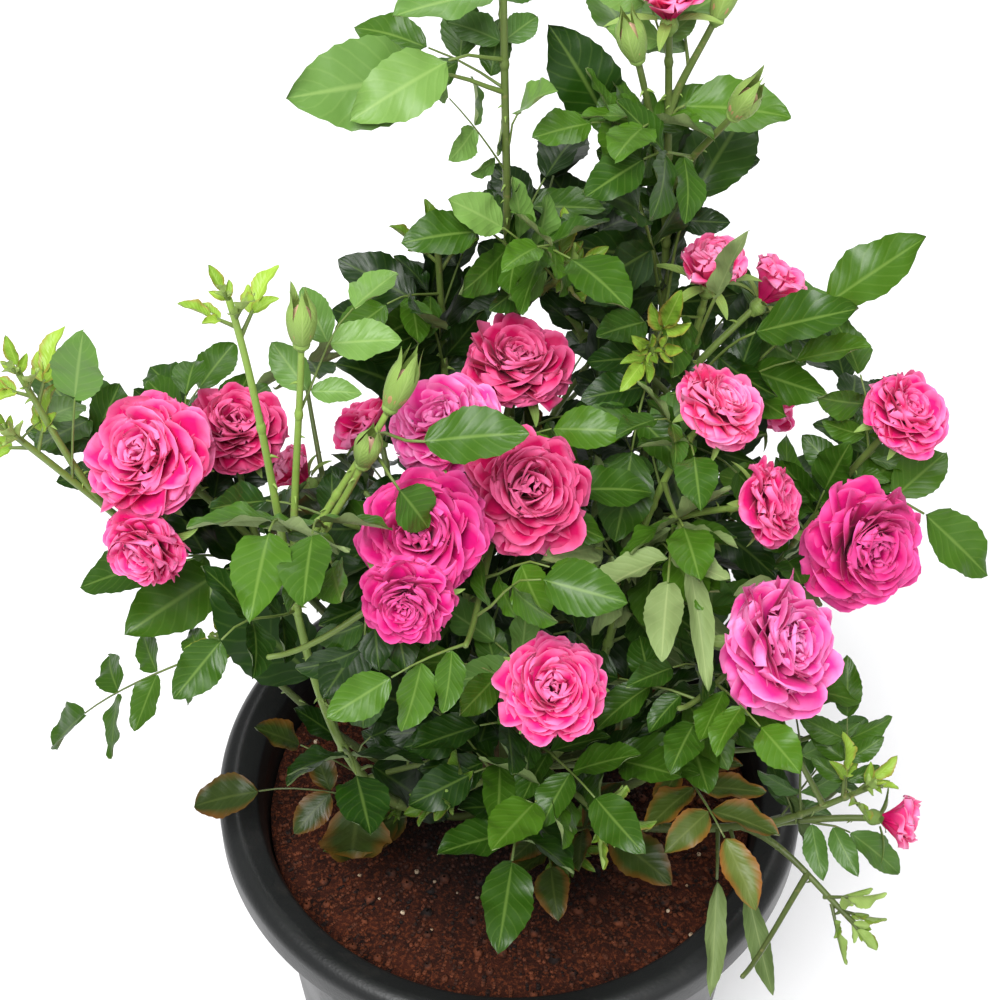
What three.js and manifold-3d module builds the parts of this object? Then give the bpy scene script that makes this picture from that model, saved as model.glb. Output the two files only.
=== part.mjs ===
// A miniature rose bush in full bloom, growing in a round nursery pot. Millimetres, +Z up.
// The origin is the middle of the pot's flat underside, -Y is the front and +X the right.
import * as THREE from "three";
import { mergeVertices } from "three/addons/utils/BufferGeometryUtils.js";
import Module from "manifold-3d";

const wasm = await Module();
wasm.setup();

// ---- driving dimensions ----

const GAP = 0.3; // between pieces that meet

// pot: an eight inch nursery pot of thin black plastic, with a flared and turned-down rim
const POT_HEIGHT = 180;
const RIM_RADIUS = 102.5;
const BASE_RADIUS = 76;
const WALL_TOP_RADIUS = 89; // outside of the wall just under the rim
const POT_WALL = 2;
const LIP_DROP = 14; // how far the rim turns down
const DRAIN_HOLES = 6;
const DRAIN_RADIUS = 5;
const DRAIN_CIRCLE = 58;
const POT_SIDES = 32;

// soil
const SOIL_TOP = 162; // height of the soil under the crown
const SOIL_EDGE_DROP = 3;

// crown: the short woody stem that all the canes spring from
const CROWN_RADIUS = 15;
const CROWN_HEIGHT = 20; // from the soil to the middle of the round head
const CROWN_FLARE = 19;
const CROWN_NECK = 12;
const CROWN_SIDES = 12;
const CROWN_CENTRE = new THREE.Vector3(0, 0, SOIL_TOP + CROWN_HEIGHT);

// stems, as radii
const CANE_FOOT = 2.5;
const CANE_TIP = 1.8;
const STEM_TIP = 1.3;
const SIDE_FOOT = 1.5;
const SIDE_TIP = 1.3;
const RACHIS_FOOT = 0.8;
const RACHIS_TIP = 0.65;

// compound leaves
const LAMP = new THREE.Vector3(0, -480, 810); // the place of the light that leaves turn to
const VIEW_LENGTH = 170; // how far a bloom is kept clear towards it
const LEAFLETS = 3;
const LEAF_LENGTH = 74; // from the stem to the tip of the end leaflet
const LEAFLET_LENGTH = 31;
const LEAFLET_WIDTH = 0.74; // of its length
const LEAFLET_THICKNESS = 0.04; // of its length
const LEAFLET_BROADEST = 0.45; // of its length from the base
const PAIR_STEP = 0.36; // of the rachis, from one pair of leaflets to the next
const PAIR_RANGE = 0.75; // of the rachis, that all the pairs stay in
const PAIR_SPREAD = 1.1; // radians between the rachis and a side leaflet
const LEAF_TURN = (2 / 5) * 2 * Math.PI; // from one leaf on a stem to the next
const TRIES = 6; // places that a leaf may be tried in before it is skipped
const TRY_TURN = 0.9; // radians between them

// room that is kept round things, as the radii of balls
const LEAF_ROOM = 2.6;
const TWIG_ROOM = 1.0; // outside its own radius
const OWN_SHARE = 0.35; // of that room, between leaves and stems of one mass
const BALL_STEP = 4; // along a stem
const STALK_IN_STEM = 2; // balls at the foot of a stalk that lie in its stem's own room
const FLOOR_ROOM = 12;

// ---- the plant: where each cane springs from the crown, where it ends, and what its mass bears ----

// What a shoot ends in. Each takes the share of the way up the main stem where the shoot leaves it (0 on
// the main stem itself), the place it ends, what it needs to know of its end, and its number of leaves.
const bloom = (from, at, size, faces, leaves = 1) => ({ end: "bloom", from, at, size, faces, leaves });
const cup = (from, at, size, faces, leaves = 1) => ({ end: "cup", from, at, size, faces, leaves });
const bud = (from, at, size, faces, leaves = 1) => ({ end: "bud", from, at, size, faces, leaves });
const sprout = (from, at, leaves = 2) => ({ end: "sprout", from, at, size: 3, faces: null, leaves });
const leaf = (from, at, leaflets = 5, size = 1) => ({ end: "leaf", from, at, size, leaflets, leaves: 0 });

// foot: azimuth and elevation in degrees on the crown's round head. cane: where the cane ends and the
// mass begins, or null where the mass springs from the crown itself. turn: radians that the leaves of the
// mass are turned by.
const MASSES = [
  { name: "top_centre", foot: [95, 70], cane: [0, 22, 290], vigour: 1, turn: 2.8, shoots: [
    sprout(0, [-3, 22, 506], 3),
    sprout(0.35, [20, 14, 400], 5),
    leaf(0.62, [-24, 8, 470], 5, 0.5),
    leaf(0.75, [-55, -3, 470], 1, 1.2),
    leaf(0.8, [-41, -8, 467], 1, 1),
    leaf(0.85, [-32, 8, 487], 1, 1),
    leaf(0.65, [11, 12, 463], 1, 0.65)] },
  { name: "top_right", foot: [45, 50], cane: [38, 30, 270], vigour: 1.05, turn: 0, shoots: [
    cup(0, [42, 38, 474], 20, [-0.1, 0, 1], 6),
    bud(0.8, [57, 42, 468], 8.5, [0.2, 0.1, 1], 0),
    bud(0.6, [32, 24, 467], 9.5, [-0.3, -0.2, 1], 0),
    bud(0.65, [61, 12, 456], 9.5, [0.3, -0.4, 0.9], 0),
    sprout(0.4, [40, -2, 380], 3),
    leaf(0.8, [76, 30, 443], 1, 0.9),
    leaf(0.5, [13, 40, 462], 3, 1.1),
    leaf(0.45, [27, 2, 444], 3, 1.1)] },
  { name: "right_upper", foot: [0, 48], cane: [34, 18, 250], vigour: 1, turn: 0, shoots: [
    cup(0, [59, 25, 390], 20, [0.1, -0.1, 1], 5),
    cup(0.65, [80, 38, 372], 18, [0.5, 0.3, 0.9], 0),
    leaf(0.4, [121, 36, 391], 3, 1.15),
    leaf(0.45, [65, -5, 431], 1, 1.3),
    leaf(0.6, [94, 8, 390], 3, 1),
    leaf(0.5, [108, 16, 366], 3, 0.8)] },
  { name: "right", foot: [354, 16], cane: [54, -4, 232], vigour: 0.95, turn: 3.5, shoots: [
    bloom(0, [119, 5, 350], 28, [0.4, -0.4, 0.8], 2),
    bloom(0.6, [108, -22, 318], 39, [0.45, -0.7, 0.45], 1),
    leaf(0.7, [151, -12, 294], 3, 1.1),
    leaf(0.6, [138, 20, 314], 3, 0.85),
    leaf(0.6, [103, 5, 338], 3, 0.8)] },
  { name: "right_middle", foot: [310, 50], cane: [20, -30, 240], vigour: 1, turn: 2.1, shoots: [
    bloom(0, [61, -10, 368], 28, [0.75, -0.15, 0.5], 5),
    bloom(0.6, [77, -27, 343], 26, [0.9, -0.25, 0.25], 2),
    leaf(0.5, [9, -60, 358], 3, 1.1),
    leaf(0.75, [57, -83, 316], 1, 1.45)] },
  { name: "right_front", foot: [325, 21], cane: [38, -34, 216], vigour: 0.95, turn: 4.9, shoots: [
    bloom(0, [80, -58, 316], 40, [0.85, -0.5, 0.2], 2),
    leaf(0.5, [106, -46, 280], 3, 0.9)] },
  { name: "low_right", foot: [305, -6], cane: [50, -42, 204], vigour: 0.85, turn: 0.7, shoots: [
    cup(0, [124, -58, 230], 16, [0.9, -0.25, -0.1], 1),
    sprout(0.45, [112, -66, 260], 2),
    sprout(0.35, [112, -82, 204], 0),
    leaf(0.6, [127, -66, 212], 3, 0.9),
    leaf(0.57, [103, -61, 210], 1, 1.2),
    leaf(0.4, [83, -64, 230], 1, 0.8),
    leaf(0.3, [82, -100, 194], 1, 1.3),
    leaf(0.25, [63, -103, 197], 1, 1.45)] },
  { name: "front", foot: [268, 22], cane: [3, -38, 216], vigour: 1, turn: 0.7, shoots: [
    bloom(0, [12, -80, 324], 31, [0.02, -0.7, 0.7], 3),
    sprout(0.35, [-24, -78, 266], 1),
    sprout(0.35, [34, -84, 258], 0),
    leaf(0.3, [55, -72, 280], 3, 0.9)] },
  { name: "centre", foot: [262, 58], cane: [-3, -16, 240], vigour: 0.95, turn: 3.5, shoots: [
    bloom(0, [-25, -64, 370], 38, [-0.05, -0.8, 0.5], 4),
    bloom(0.75, [-29, -82, 361], 25, [-0.15, -0.95, 0.05], 1),
    bloom(0.45, [-20, -24, 374], 33, [-0.35, -0.3, 0.85], 1),
    bloom(0.5, [5, -46, 369], 35, [0.1, -0.85, 0.5], 2),
    bloom(0.4, [2, 2, 374], 32, [0.1, -0.4, 0.85], 1)] },
  { name: "upper_left", foot: [145, 50], cane: [-16, 12, 256], vigour: 1, turn: 1.4, shoots: [
    sprout(0, [-22, 30, 400], 3),
    leaf(0.75, [-53, 34, 391], 3, 1),
    leaf(0.5, [-52, 6, 370], 3, 1),
    leaf(0.65, [-28, -2, 398], 3, 0.9)] },
  { name: "left_front", foot: [230, 22], cane: [-38, -42, 218], vigour: 0.95, turn: 4.9, shoots: [
    sprout(0, [-73, -45, 440], 3),
    bud(0.5, [-55, -42, 425], 9.5, [0.05, 0, 1], 2),
    bud(0.53, [-31, -42, 402], 9.5, [0.3, 0.1, 1], 1),
    bud(0.51, [-39, -56, 393], 8.5, [0.1, -0.3, 1], 1),
    leaf(0.12, [-53, -52, 188], 1, 1.35),
    leaf(0.14, [-16, -52, 224], 1, 1.25),
    leaf(0.16, [-66, -47, 276], 1, 0.65),
    leaf(0.16, [-29, -53, 277], 1, 0.65),
    leaf(0.2, [-84, -50, 330], 1, 1.5)] },
  { name: "left", foot: [195, 50], cane: [-44, 8, 228], vigour: 1, turn: 1.4, shoots: [
    bloom(0, [-108, -14, 351], 38, [-0.3, -0.6, 0.65], 3),
    bloom(0.78, [-109, -32, 328], 27, [-0.4, -0.85, -0.05], 0),
    bloom(0.5, [-84, 14, 336], 30, [0.3, -0.5, 0.75], 2),
    leaf(0.45, [-138, 0, 276], 3, 0.95),
    leaf(0.4, [-118, -28, 286], 3, 1.1)] },
  { name: "far_left", foot: [170, 18], cane: [-64, 8, 226], vigour: 0.8, turn: 5.6, shoots: [
    sprout(0, [-146, -18, 366], 0),
    sprout(0.7, [-140, -14, 385], 0),
    leaf(0.8, [-120, -16, 396], 1, 0.95),
    leaf(0.95, [-125, 4, 357], 1, 0.75)] },
  { name: "low_left", foot: [200, -4], cane: [-38, -18, 204], vigour: 1.1, turn: 2.1, shoots: [
    sprout(0, [-87, -38, 297], 0),
    leaf(0.95, [-151, -30, 234], 7, 0.68)] },
  { name: "base_left", foot: [240, -8], cane: null, vigour: 1, turn: 0, shoots: [
    sprout(0, [-42, -34, 205], 0),
    leaf(0.5, [-107, -26, 195], 5, 0.76),
    leaf(0.6, [-62, -46, 198], 1, 0.9),
    leaf(0.8, [-81, -42, 258], 1, 0.65)] },
  { name: "base_front", foot: [283, -8], cane: null, vigour: 0.85, turn: 0.7, shoots: [
    sprout(0, [22, -48, 196], 0),
    leaf(0.5, [15, -72, 196], 3, 0.76),
    leaf(0.6, [0, -52, 200], 1, 0.8),
    leaf(0.6, [50, -70, 219], 3, 0.95)] },
  { name: "back_right", foot: [40, 18], cane: [42, 40, 226], vigour: 1, turn: 3.5, shoots: [
    bloom(0, [84, 84, 284], 34, [0.5, 0.6, 0.6], 4),
    bud(0.5, [64, 98, 312], 9.5, [0.2, 0.5, 0.9], 3)] },
  { name: "back", foot: [88, 18], cane: [5, 52, 222], vigour: 1, turn: 1.4, shoots: [
    bloom(0, [4, 116, 266], 32, [0.05, 0.8, 0.5], 4),
    sprout(0.45, [36, 106, 294], 2),
    sprout(0.4, [-18, 92, 298], 2)] },
  { name: "back_left", foot: [133, 18], cane: [-34, 42, 222], vigour: 1, turn: 2.1, shoots: [
    bloom(0, [-48, 92, 264], 30, [-0.4, 0.7, 0.5], 6),
    cup(0.5, [-76, 66, 264], 18, [-0.5, 0.3, 0.9], 2)] },
  { name: "base_back", foot: [112, -6], cane: null, vigour: 1, turn: 0, shoots: [
    sprout(0, [-16, 62, 220], 3),
    leaf(0.4, [44, 92, 210], 3, 1),
    leaf(0.4, [-66, 80, 208], 3, 1)] },
];

// ---- helpers ----

const UP = new THREE.Vector3(0, 0, 1);
const at = ([x, y, z]) => new THREE.Vector3(x, y, z);

// Numbers from 0 to 1 that follow from the seed alone.
function seeded(...parts) {
  let state = parts.reduce((sum, part) => (Math.imul(sum, 31) + part + 1) >>> 0, 7);
  const next = () => {
    state = (Math.imul(state, 1664525) + 1013904223) >>> 0;
    return state / 4294967296;
  };
  next();
  next();
  return next;
}

const between = (random, low, high) => low + (high - low) * random();

// The part of a vector square to an axis, as a direction.
const squareTo = (vector, axis) => vector.clone().addScaledVector(axis, -vector.dot(axis)).normalize();

// A stem from one place to another, leaving and arriving in given directions.
function stemCurve(start, startWay, end, endWay) {
  const third = start.distanceTo(end) / 3;
  return new THREE.CubicBezierCurve3(
    start,
    start.clone().addScaledVector(startWay, third),
    end.clone().addScaledVector(endWay, -third),
    end,
  );
}

// A closed three.js geometry as a solid that can be joined and cut.
function solid(geometry) {
  const bare = geometry.index ? geometry.toNonIndexed() : geometry.clone();
  bare.deleteAttribute("normal");
  bare.deleteAttribute("uv");
  const merged = mergeVertices(bare, 1e-3);
  return new wasm.Manifold(
    new wasm.Mesh({
      numProp: 3,
      vertProperties: merged.attributes.position.array,
      triVerts: new Uint32Array(merged.index.array),
    }),
  );
}

// A solid's largest body as a three.js mesh. Loose scraps are left behind.
function meshOf(name, made, material) {
  const whole = made.decompose().sort((a, b) => b.volume() - a.volume())[0];
  const { vertProperties, triVerts } = whole.getMesh();
  const geometry = new THREE.BufferGeometry()
    .setAttribute("position", new THREE.BufferAttribute(Float32Array.from(vertProperties), 3))
    .setIndex(new THREE.BufferAttribute(Uint32Array.from(triVerts), 1));
  const mesh = new THREE.Mesh(geometry, material);
  mesh.name = name;
  return mesh;
}

function indexed(points, faces) {
  return new THREE.BufferGeometry()
    .setAttribute("position", new THREE.Float32BufferAttribute(points.flatMap((p) => p.toArray()), 3))
    .setIndex(faces.flat());
}

// A limb that tapers along a curve, with flat ends.
function limb(curve, startRadius, endRadius, sides, steps) {
  const { normals, binormals } = curve.computeFrenetFrames(steps);
  const points = [];
  const faces = [];
  for (let i = 0; i <= steps; i++) {
    const centre = curve.getPointAt(i / steps);
    const radius = THREE.MathUtils.lerp(startRadius, endRadius, i / steps);
    for (let k = 0; k < sides; k++) {
      const angle = (2 * Math.PI * k) / sides;
      points.push(
        centre
          .clone()
          .addScaledVector(normals[i], radius * Math.cos(angle))
          .addScaledVector(binormals[i], radius * Math.sin(angle)),
      );
    }
  }
  const last = steps * sides;
  for (let i = 0; i < steps; i++) {
    for (let k = 0; k < sides; k++) {
      const a = i * sides + k;
      const b = i * sides + ((k + 1) % sides);
      faces.push([a, b, b + sides], [a, b + sides, a + sides]);
    }
  }
  for (let k = 1; k < sides - 1; k++) {
    faces.push([0, k + 1, k], [last, last + k, last + k + 1]);
  }
  return indexed(points, faces);
}

// A profile of [radius, height] rows turned about the upright axis.
function lathe(profile, sides) {
  const points = profile.map(([radius, height]) => new THREE.Vector2(radius, height));
  return new THREE.LatheGeometry(points, sides).rotateX(Math.PI / 2);
}

// A body turned about its own axis and pointed along a direction, with its outline waved in lobes. The
// profile holds [radius, height, wave] rows in units of size.
function turned(profile, size, centre, way, sides, lobes = 0) {
  const geometry = new THREE.LatheGeometry(
    profile.map(([radius, height]) => new THREE.Vector2(radius * size, height * size)),
    sides,
  );
  const position = geometry.attributes.position;
  for (let i = 0; i < position.count; i++) {
    const [, , wave = 0] = profile[i % profile.length];
    const swell = 1 + wave * Math.cos(lobes * Math.atan2(position.getZ(i), position.getX(i)));
    position.setX(i, position.getX(i) * swell);
    position.setZ(i, position.getZ(i) * swell);
  }
  const turn = new THREE.Quaternion().setFromUnitVectors(new THREE.Vector3(0, 1, 0), way);
  return geometry.applyQuaternion(turn).translate(centre.x, centre.y, centre.z);
}

// ---- the rule of growth ----

// Where a shoot's stem runs: from its place on the main stem, or the mass's foot, to what it ends in.
function shootCurve(shoot, main, foot, footWay) {
  const end = at(shoot.at);
  if (!main) {
    const arrive = shoot.faces ? at(shoot.faces).normalize() : end.clone().sub(foot).normalize();
    return stemCurve(foot, footWay, end, arrive.add(end.clone().sub(foot).normalize()).normalize());
  }
  const start = main.getPoint(shoot.from);
  const toEnd = end.clone().sub(start).normalize();
  const leave = main.getTangent(shoot.from).add(toEnd).normalize();
  const arrive = shoot.faces ? at(shoot.faces).normalize().add(toEnd).normalize() : toEnd;
  return stemCurve(start, leave, end, arrive);
}

// Where a leaf at a place faces: halfway between straight up and the light.
const towardLight = (place) => LAMP.clone().sub(place).normalize().add(UP).normalize();

// One compound leaf: a rachis with pairs of leaflets, and one at its end that reaches the tip.
function compoundLeaf(random, start, tip, leaflets, size) {
  const way = tip.clone().sub(start).normalize();
  const leave = way.clone().addScaledVector(UP, between(random, 0.15, 0.4)).normalize();
  const arrive = way.clone().addScaledVector(UP, -between(random, 0.1, 0.45)).normalize();
  const end = tip.clone().addScaledVector(arrive, -LEAFLET_LENGTH * size);
  const rachis = stemCurve(start, leave, end, arrive);
  const light = towardLight(end);
  const roll = between(random, -0.25, 0.25);
  const pairs = (leaflets - 1) / 2;
  const step = Math.min(PAIR_STEP, PAIR_RANGE / Math.max(pairs, 1));
  const made = [];
  for (let k = 0; k <= pairs; k++) {
    const share = 1 - (pairs - k) * step;
    const tangent = rachis.getTangent(share);
    const normal = squareTo(light, tangent).applyAxisAngle(tangent, roll);
    const side = tangent.clone().cross(normal);
    for (const hand of k === pairs ? [0] : [-1, 1]) {
      const spread = hand * (PAIR_SPREAD + between(random, -0.15, 0.15));
      const tilt = between(random, -0.3, 0.12);
      const twist = between(random, -0.3, 0.3);
      const scale = between(random, 0.88, 1.08);
      const out = tangent
        .clone()
        .multiplyScalar(Math.cos(spread))
        .addScaledVector(side, Math.sin(spread))
        .addScaledVector(normal, tilt)
        .normalize();
      const length = LEAFLET_LENGTH * size * scale * (k === pairs ? 1 : 0.66 + (0.26 * (k + 1)) / pairs);
      const base = rachis.getPoint(share).addScaledVector(out, k === pairs ? -2 * RACHIS_TIP : 0);
      made.push({ base, out, up: squareTo(normal, out).applyAxisAngle(out, twist), length });
    }
  }
  return { rachis, leaflets: made };
}

// Balls that fill a leaflet, to test its room with.
function leafletBalls({ base, out, up, length }) {
  const side = out.clone().cross(up);
  const balls = [];
  for (let i = 1; i <= 6; i++) {
    const share = i / 6;
    const half = (LEAFLET_WIDTH / 2) * length * Math.sin(Math.PI * Math.min(1, 0.08 + 0.92 * share) ** 0.8);
    for (const across of [-1, -0.5, 0, 0.5, 1]) {
      const centre = base.clone().addScaledVector(out, share * length).addScaledVector(side, across * half);
      balls.push({ centre, radius: LEAF_ROOM });
    }
  }
  return balls;
}

function stemBalls(curve, radius) {
  const count = Math.ceil(curve.getLength() / BALL_STEP);
  return Array.from({ length: count + 1 }, (_, i) => ({
    centre: curve.getPoint(i / count),
    radius: radius + TWIG_ROOM,
  }));
}

// Balls that fill what a shoot ends in: a ring and a middle for a wide bloom, one ball for the rest.
function endBalls({ end, at: place, size }, way) {
  const centre = at(place);
  const radius = size / 2;
  if (end !== "bloom") return [{ centre, radius }];
  const ring = Array.from({ length: 6 }, (_, i) => {
    const out = squareTo(UP, way).applyAxisAngle(way, (i * Math.PI) / 3);
    return { centre: centre.clone().addScaledVector(out, 0.6 * radius), radius: 0.45 * radius };
  });
  return [{ centre, radius: 0.5 * radius }, ...ring];
}

// What is already there: balls that belong to one mass, or to none, which every leaf keeps clear of.
const taken = [];

const take = (balls, owner) => balls.forEach((ball) => taken.push({ ...ball, owner }));

function inPot({ x, y, z }) {
  const away = Math.hypot(x, y);
  if (away < WALL_TOP_RADIUS - LEAF_ROOM) return z < SOIL_TOP + LEAF_ROOM;
  return z < (away < RIM_RADIUS + LEAF_ROOM ? POT_HEIGHT + LEAF_ROOM : FLOOR_ROOM);
}

function isFree(balls, owner) {
  return balls.every(
    (ball) =>
      !inPot(ball.centre) &&
      taken.every((other) => {
        const room = (ball.radius + other.radius) * (other.owner === owner ? OWN_SHARE : 1);
        return ball.centre.distanceToSquared(other.centre) > room * room;
      }),
  );
}

// The leaflets of a leaf that have room. A leaf with no end leaflet, or with a stalk that has no room,
// has none.
function roomFor(grown, owner) {
  const stalk = stemBalls(grown.rachis, RACHIS_FOOT).slice(STALK_IN_STEM);
  if (!isFree(stalk, owner)) return [];
  const free = grown.leaflets.filter((leaflet) => isFree(leafletBalls(leaflet), owner));
  return free.at(-1) === grown.leaflets.at(-1) ? free : [];
}

// Where the leaf at a given place on a stem reaches to, at a given try.
function leafReach(random, curve, share, turn, length) {
  const tangent = curve.getTangent(share);
  const out = squareTo(new THREE.Vector3(Math.cos(turn), Math.sin(turn), 0.25), tangent);
  const rise = between(random, 0.15, 0.6);
  const start = curve.getPoint(share);
  const way = out.multiplyScalar(Math.cos(rise)).addScaledVector(tangent, Math.sin(rise));
  return { start, end: start.clone().addScaledVector(way, length) };
}

// Grows the stems of one mass, and takes the room that they and what they end in need.
function growStems(mass) {
  const footWay = at([
    Math.cos(THREE.MathUtils.degToRad(mass.foot[0])) * Math.cos(THREE.MathUtils.degToRad(mass.foot[1])),
    Math.sin(THREE.MathUtils.degToRad(mass.foot[0])) * Math.cos(THREE.MathUtils.degToRad(mass.foot[1])),
    Math.sin(THREE.MathUtils.degToRad(mass.foot[1])),
  ]);
  let foot = CROWN_CENTRE.clone().addScaledVector(footWay, CROWN_RADIUS + GAP);
  if (mass.cane) {
    const end = at(mass.cane);
    const onward = at(mass.shoots[0].at).sub(end).normalize();
    const arrive = onward.add(end.clone().sub(foot).normalize()).normalize();
    mass.caneCurve = stemCurve(foot, footWay, end, arrive);
    take(stemBalls(mass.caneCurve, CANE_TIP), null);
    foot = end.clone().addScaledVector(arrive, GAP);
    footWay.copy(arrive);
  }
  mass.stems = [];
  for (const shoot of mass.shoots.filter(({ end }) => end !== "leaf")) {
    const curve = shootCurve(shoot, mass.stems[0]?.curve, foot, footWay);
    mass.stems.push({ shoot, curve });
    take(stemBalls(curve, SIDE_TIP), mass.name);
    take(endBalls(shoot, curve.getTangent(1)), null);
  }
}

// Keeps what opens to the light clear of the leaves that are still to grow.
function clearViews({ stems }) {
  for (const { shoot } of stems.filter((stem) => stem.shoot.end !== "sprout")) {
    const place = at(shoot.at);
    const way = LAMP.clone().sub(place).normalize();
    const radius = 0.45 * shoot.size;
    const count = Math.ceil(VIEW_LENGTH / (0.7 * radius));
    const balls = Array.from({ length: count }, (_, i) => ({
      centre: place.clone().addScaledVector(way, i * 0.7 * radius),
      radius,
    }));
    take(balls, null);
  }
}

// Grows one leaf of a mass, as the try that has room for the most leaflets, or none.
function growLeaf(mass, leaflets, attemptAt) {
  let best = { free: [] };
  for (let attempt = 0; attempt < TRIES && best.free.length < leaflets; attempt++) {
    const grown = attemptAt(attempt);
    const free = roomFor(grown, mass.name);
    if (free.length > best.free.length) best = { rachis: grown.rachis, free };
  }
  if (!best.rachis) return;
  mass.leaves.push({ rachis: best.rachis, leaflets: best.free });
  take(stemBalls(best.rachis, RACHIS_FOOT).slice(STALK_IN_STEM), mass.name);
  best.free.forEach((leaflet) => take(leafletBalls(leaflet), mass.name));
}

// Grows the leaves of a mass that have a place of their own.
function growPlacedLeaves(mass, number) {
  mass.leaves = [];
  mass.shoots.forEach((shoot, i) => {
    if (shoot.end !== "leaf") return;
    const start = mass.stems[0].curve.getPoint(shoot.from);
    const size = shoot.size * mass.vigour;
    growLeaf(mass, shoot.leaflets, (attempt) =>
      compoundLeaf(seeded(number, i, attempt), start, at(shoot.at), shoot.leaflets, size),
    );
  });
}

// Grows the leaves that follow one another up each stem of a mass.
function growLeaves(mass, number) {
  mass.stems.forEach(({ shoot, curve }, i) => {
    for (let k = 0; k < shoot.leaves; k++) {
      const share = (k + 0.7) / (shoot.leaves + 0.4);
      const size = mass.vigour * (1.05 - 0.5 * share);
      growLeaf(mass, LEAFLETS, (attempt) => {
        const random = seeded(number, 20 + i, k, attempt);
        const turn = mass.turn + i * 1.7 + k * LEAF_TURN + attempt * TRY_TURN + between(random, -0.3, 0.3);
        const { start, end } = leafReach(random, curve, share, turn, LEAF_LENGTH * size);
        return compoundLeaf(random, start, end, LEAFLETS, size);
      });
    }
  });
}

// ---- solids ----

// A leaflet of six faces: flat below, and raised to a ridge point above.
function leafletSolid({ base, out, up, length }) {
  const side = out.clone().cross(up);
  const middle = base.clone().addScaledVector(out, LEAFLET_BROADEST * length);
  const halfWidth = (LEAFLET_WIDTH / 2) * length;
  const ring = [
    base,
    middle.clone().addScaledVector(side, halfWidth),
    base.clone().addScaledVector(out, length),
    middle.clone().addScaledVector(side, -halfWidth),
  ];
  const ridge = middle.clone().addScaledVector(up, LEAFLET_THICKNESS * length);
  const faces = [
    [0, 1, 4],
    [1, 2, 4],
    [2, 3, 4],
    [3, 0, 4],
    [0, 3, 2],
    [0, 2, 1],
  ];
  return indexed([...ring, ridge], faces);
}

// Profiles of what a shoot ends in, as [radius, height, wave] in half diameters.
const PROFILES = {
  bloom: { sides: 10, lobes: 5, rows: [
    [0, -0.42], [0.82, -0.14, 0.1], [1, 0.06, -0.08], [0.7, 0.36, 0.09], [0.35, 0.44, -0.08], [0, 0.36]] },
  cup: { sides: 10, lobes: 5, rows: [
    [0, -0.95], [0.6, -0.7], [0.9, 0.1, 0.06], [0.8, 0.8, -0.08], [0.35, 0.85], [0, 0.7]] },
  bud: { sides: 6, lobes: 0, rows: [
    [0, -1.7], [0.5, -1.4], [0.95, -0.3], [0.75, 0.7], [0, 1.8]] },
  sprout: { sides: 5, lobes: 0, rows: [
    [0, -1.4], [0.7, -1], [0.7, 1.5], [0, 4]] },
};

function shootEnd({ shoot, curve }) {
  const { sides, lobes, rows } = PROFILES[shoot.end];
  return turned(rows, shoot.size / 2, at(shoot.at), curve.getTangent(1), sides, lobes);
}

function massSolid(mass) {
  const pieces = mass.stems.map(({ curve }, i) =>
    i === 0 ? limb(curve, CANE_TIP, STEM_TIP, 4, 5) : limb(curve, SIDE_FOOT, SIDE_TIP, 3, 3),
  );
  pieces.push(...mass.stems.map(shootEnd));
  for (const { rachis, leaflets } of mass.leaves) {
    pieces.push(limb(rachis, RACHIS_FOOT, RACHIS_TIP, 3, 2), ...leaflets.map(leafletSolid));
  }
  return wasm.Manifold.union(pieces.map(solid));
}

function potSolid() {
  const lipTop = POT_HEIGHT - 4;
  const profile = [
    [0, 0],
    [BASE_RADIUS, 0],
    [WALL_TOP_RADIUS, POT_HEIGHT - 11],
    [RIM_RADIUS - POT_WALL, POT_HEIGHT - 5.5],
    [RIM_RADIUS - POT_WALL, POT_HEIGHT - LIP_DROP],
    [RIM_RADIUS, POT_HEIGHT - LIP_DROP],
    [RIM_RADIUS, lipTop],
    [RIM_RADIUS - 2.5, POT_HEIGHT - 1],
    [RIM_RADIUS - 6, POT_HEIGHT],
    [WALL_TOP_RADIUS, POT_HEIGHT - 4],
    [WALL_TOP_RADIUS - POT_WALL, POT_HEIGHT - 10],
    [BASE_RADIUS - POT_WALL, POT_WALL],
    [0, POT_WALL],
  ];
  let pot = solid(lathe(profile, POT_SIDES));
  for (let i = 0; i < DRAIN_HOLES; i++) {
    const angle = (2 * Math.PI * i) / DRAIN_HOLES;
    const hole = new THREE.CylinderGeometry(DRAIN_RADIUS, DRAIN_RADIUS, 4 * POT_WALL, 8)
      .rotateX(Math.PI / 2)
      .translate(DRAIN_CIRCLE * Math.cos(angle), DRAIN_CIRCLE * Math.sin(angle), POT_WALL);
    pot = pot.subtract(solid(hole));
  }
  return pot;
}

// The radius of the pot's inside at a height.
const insideRadius = (z) =>
  BASE_RADIUS - POT_WALL + ((WALL_TOP_RADIUS - BASE_RADIUS) * (z - POT_WALL)) / (POT_HEIGHT - 10 - POT_WALL);

function soilSolid() {
  const edge = SOIL_TOP - SOIL_EDGE_DROP;
  const facetSag = 1 - Math.cos(Math.PI / POT_SIDES); // so that its corners stay inside the pot's flats
  const fit = (z) => (insideRadius(z) - GAP) * (1 - facetSag);
  const profile = [
    [0, POT_WALL + GAP],
    [fit(POT_WALL + GAP), POT_WALL + GAP],
    [fit(edge), edge],
    [74, SOIL_TOP - 0.5],
    [52, SOIL_TOP + 0.8],
    [30, SOIL_TOP],
    [0, SOIL_TOP],
  ];
  return solid(lathe(profile, POT_SIDES));
}

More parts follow.
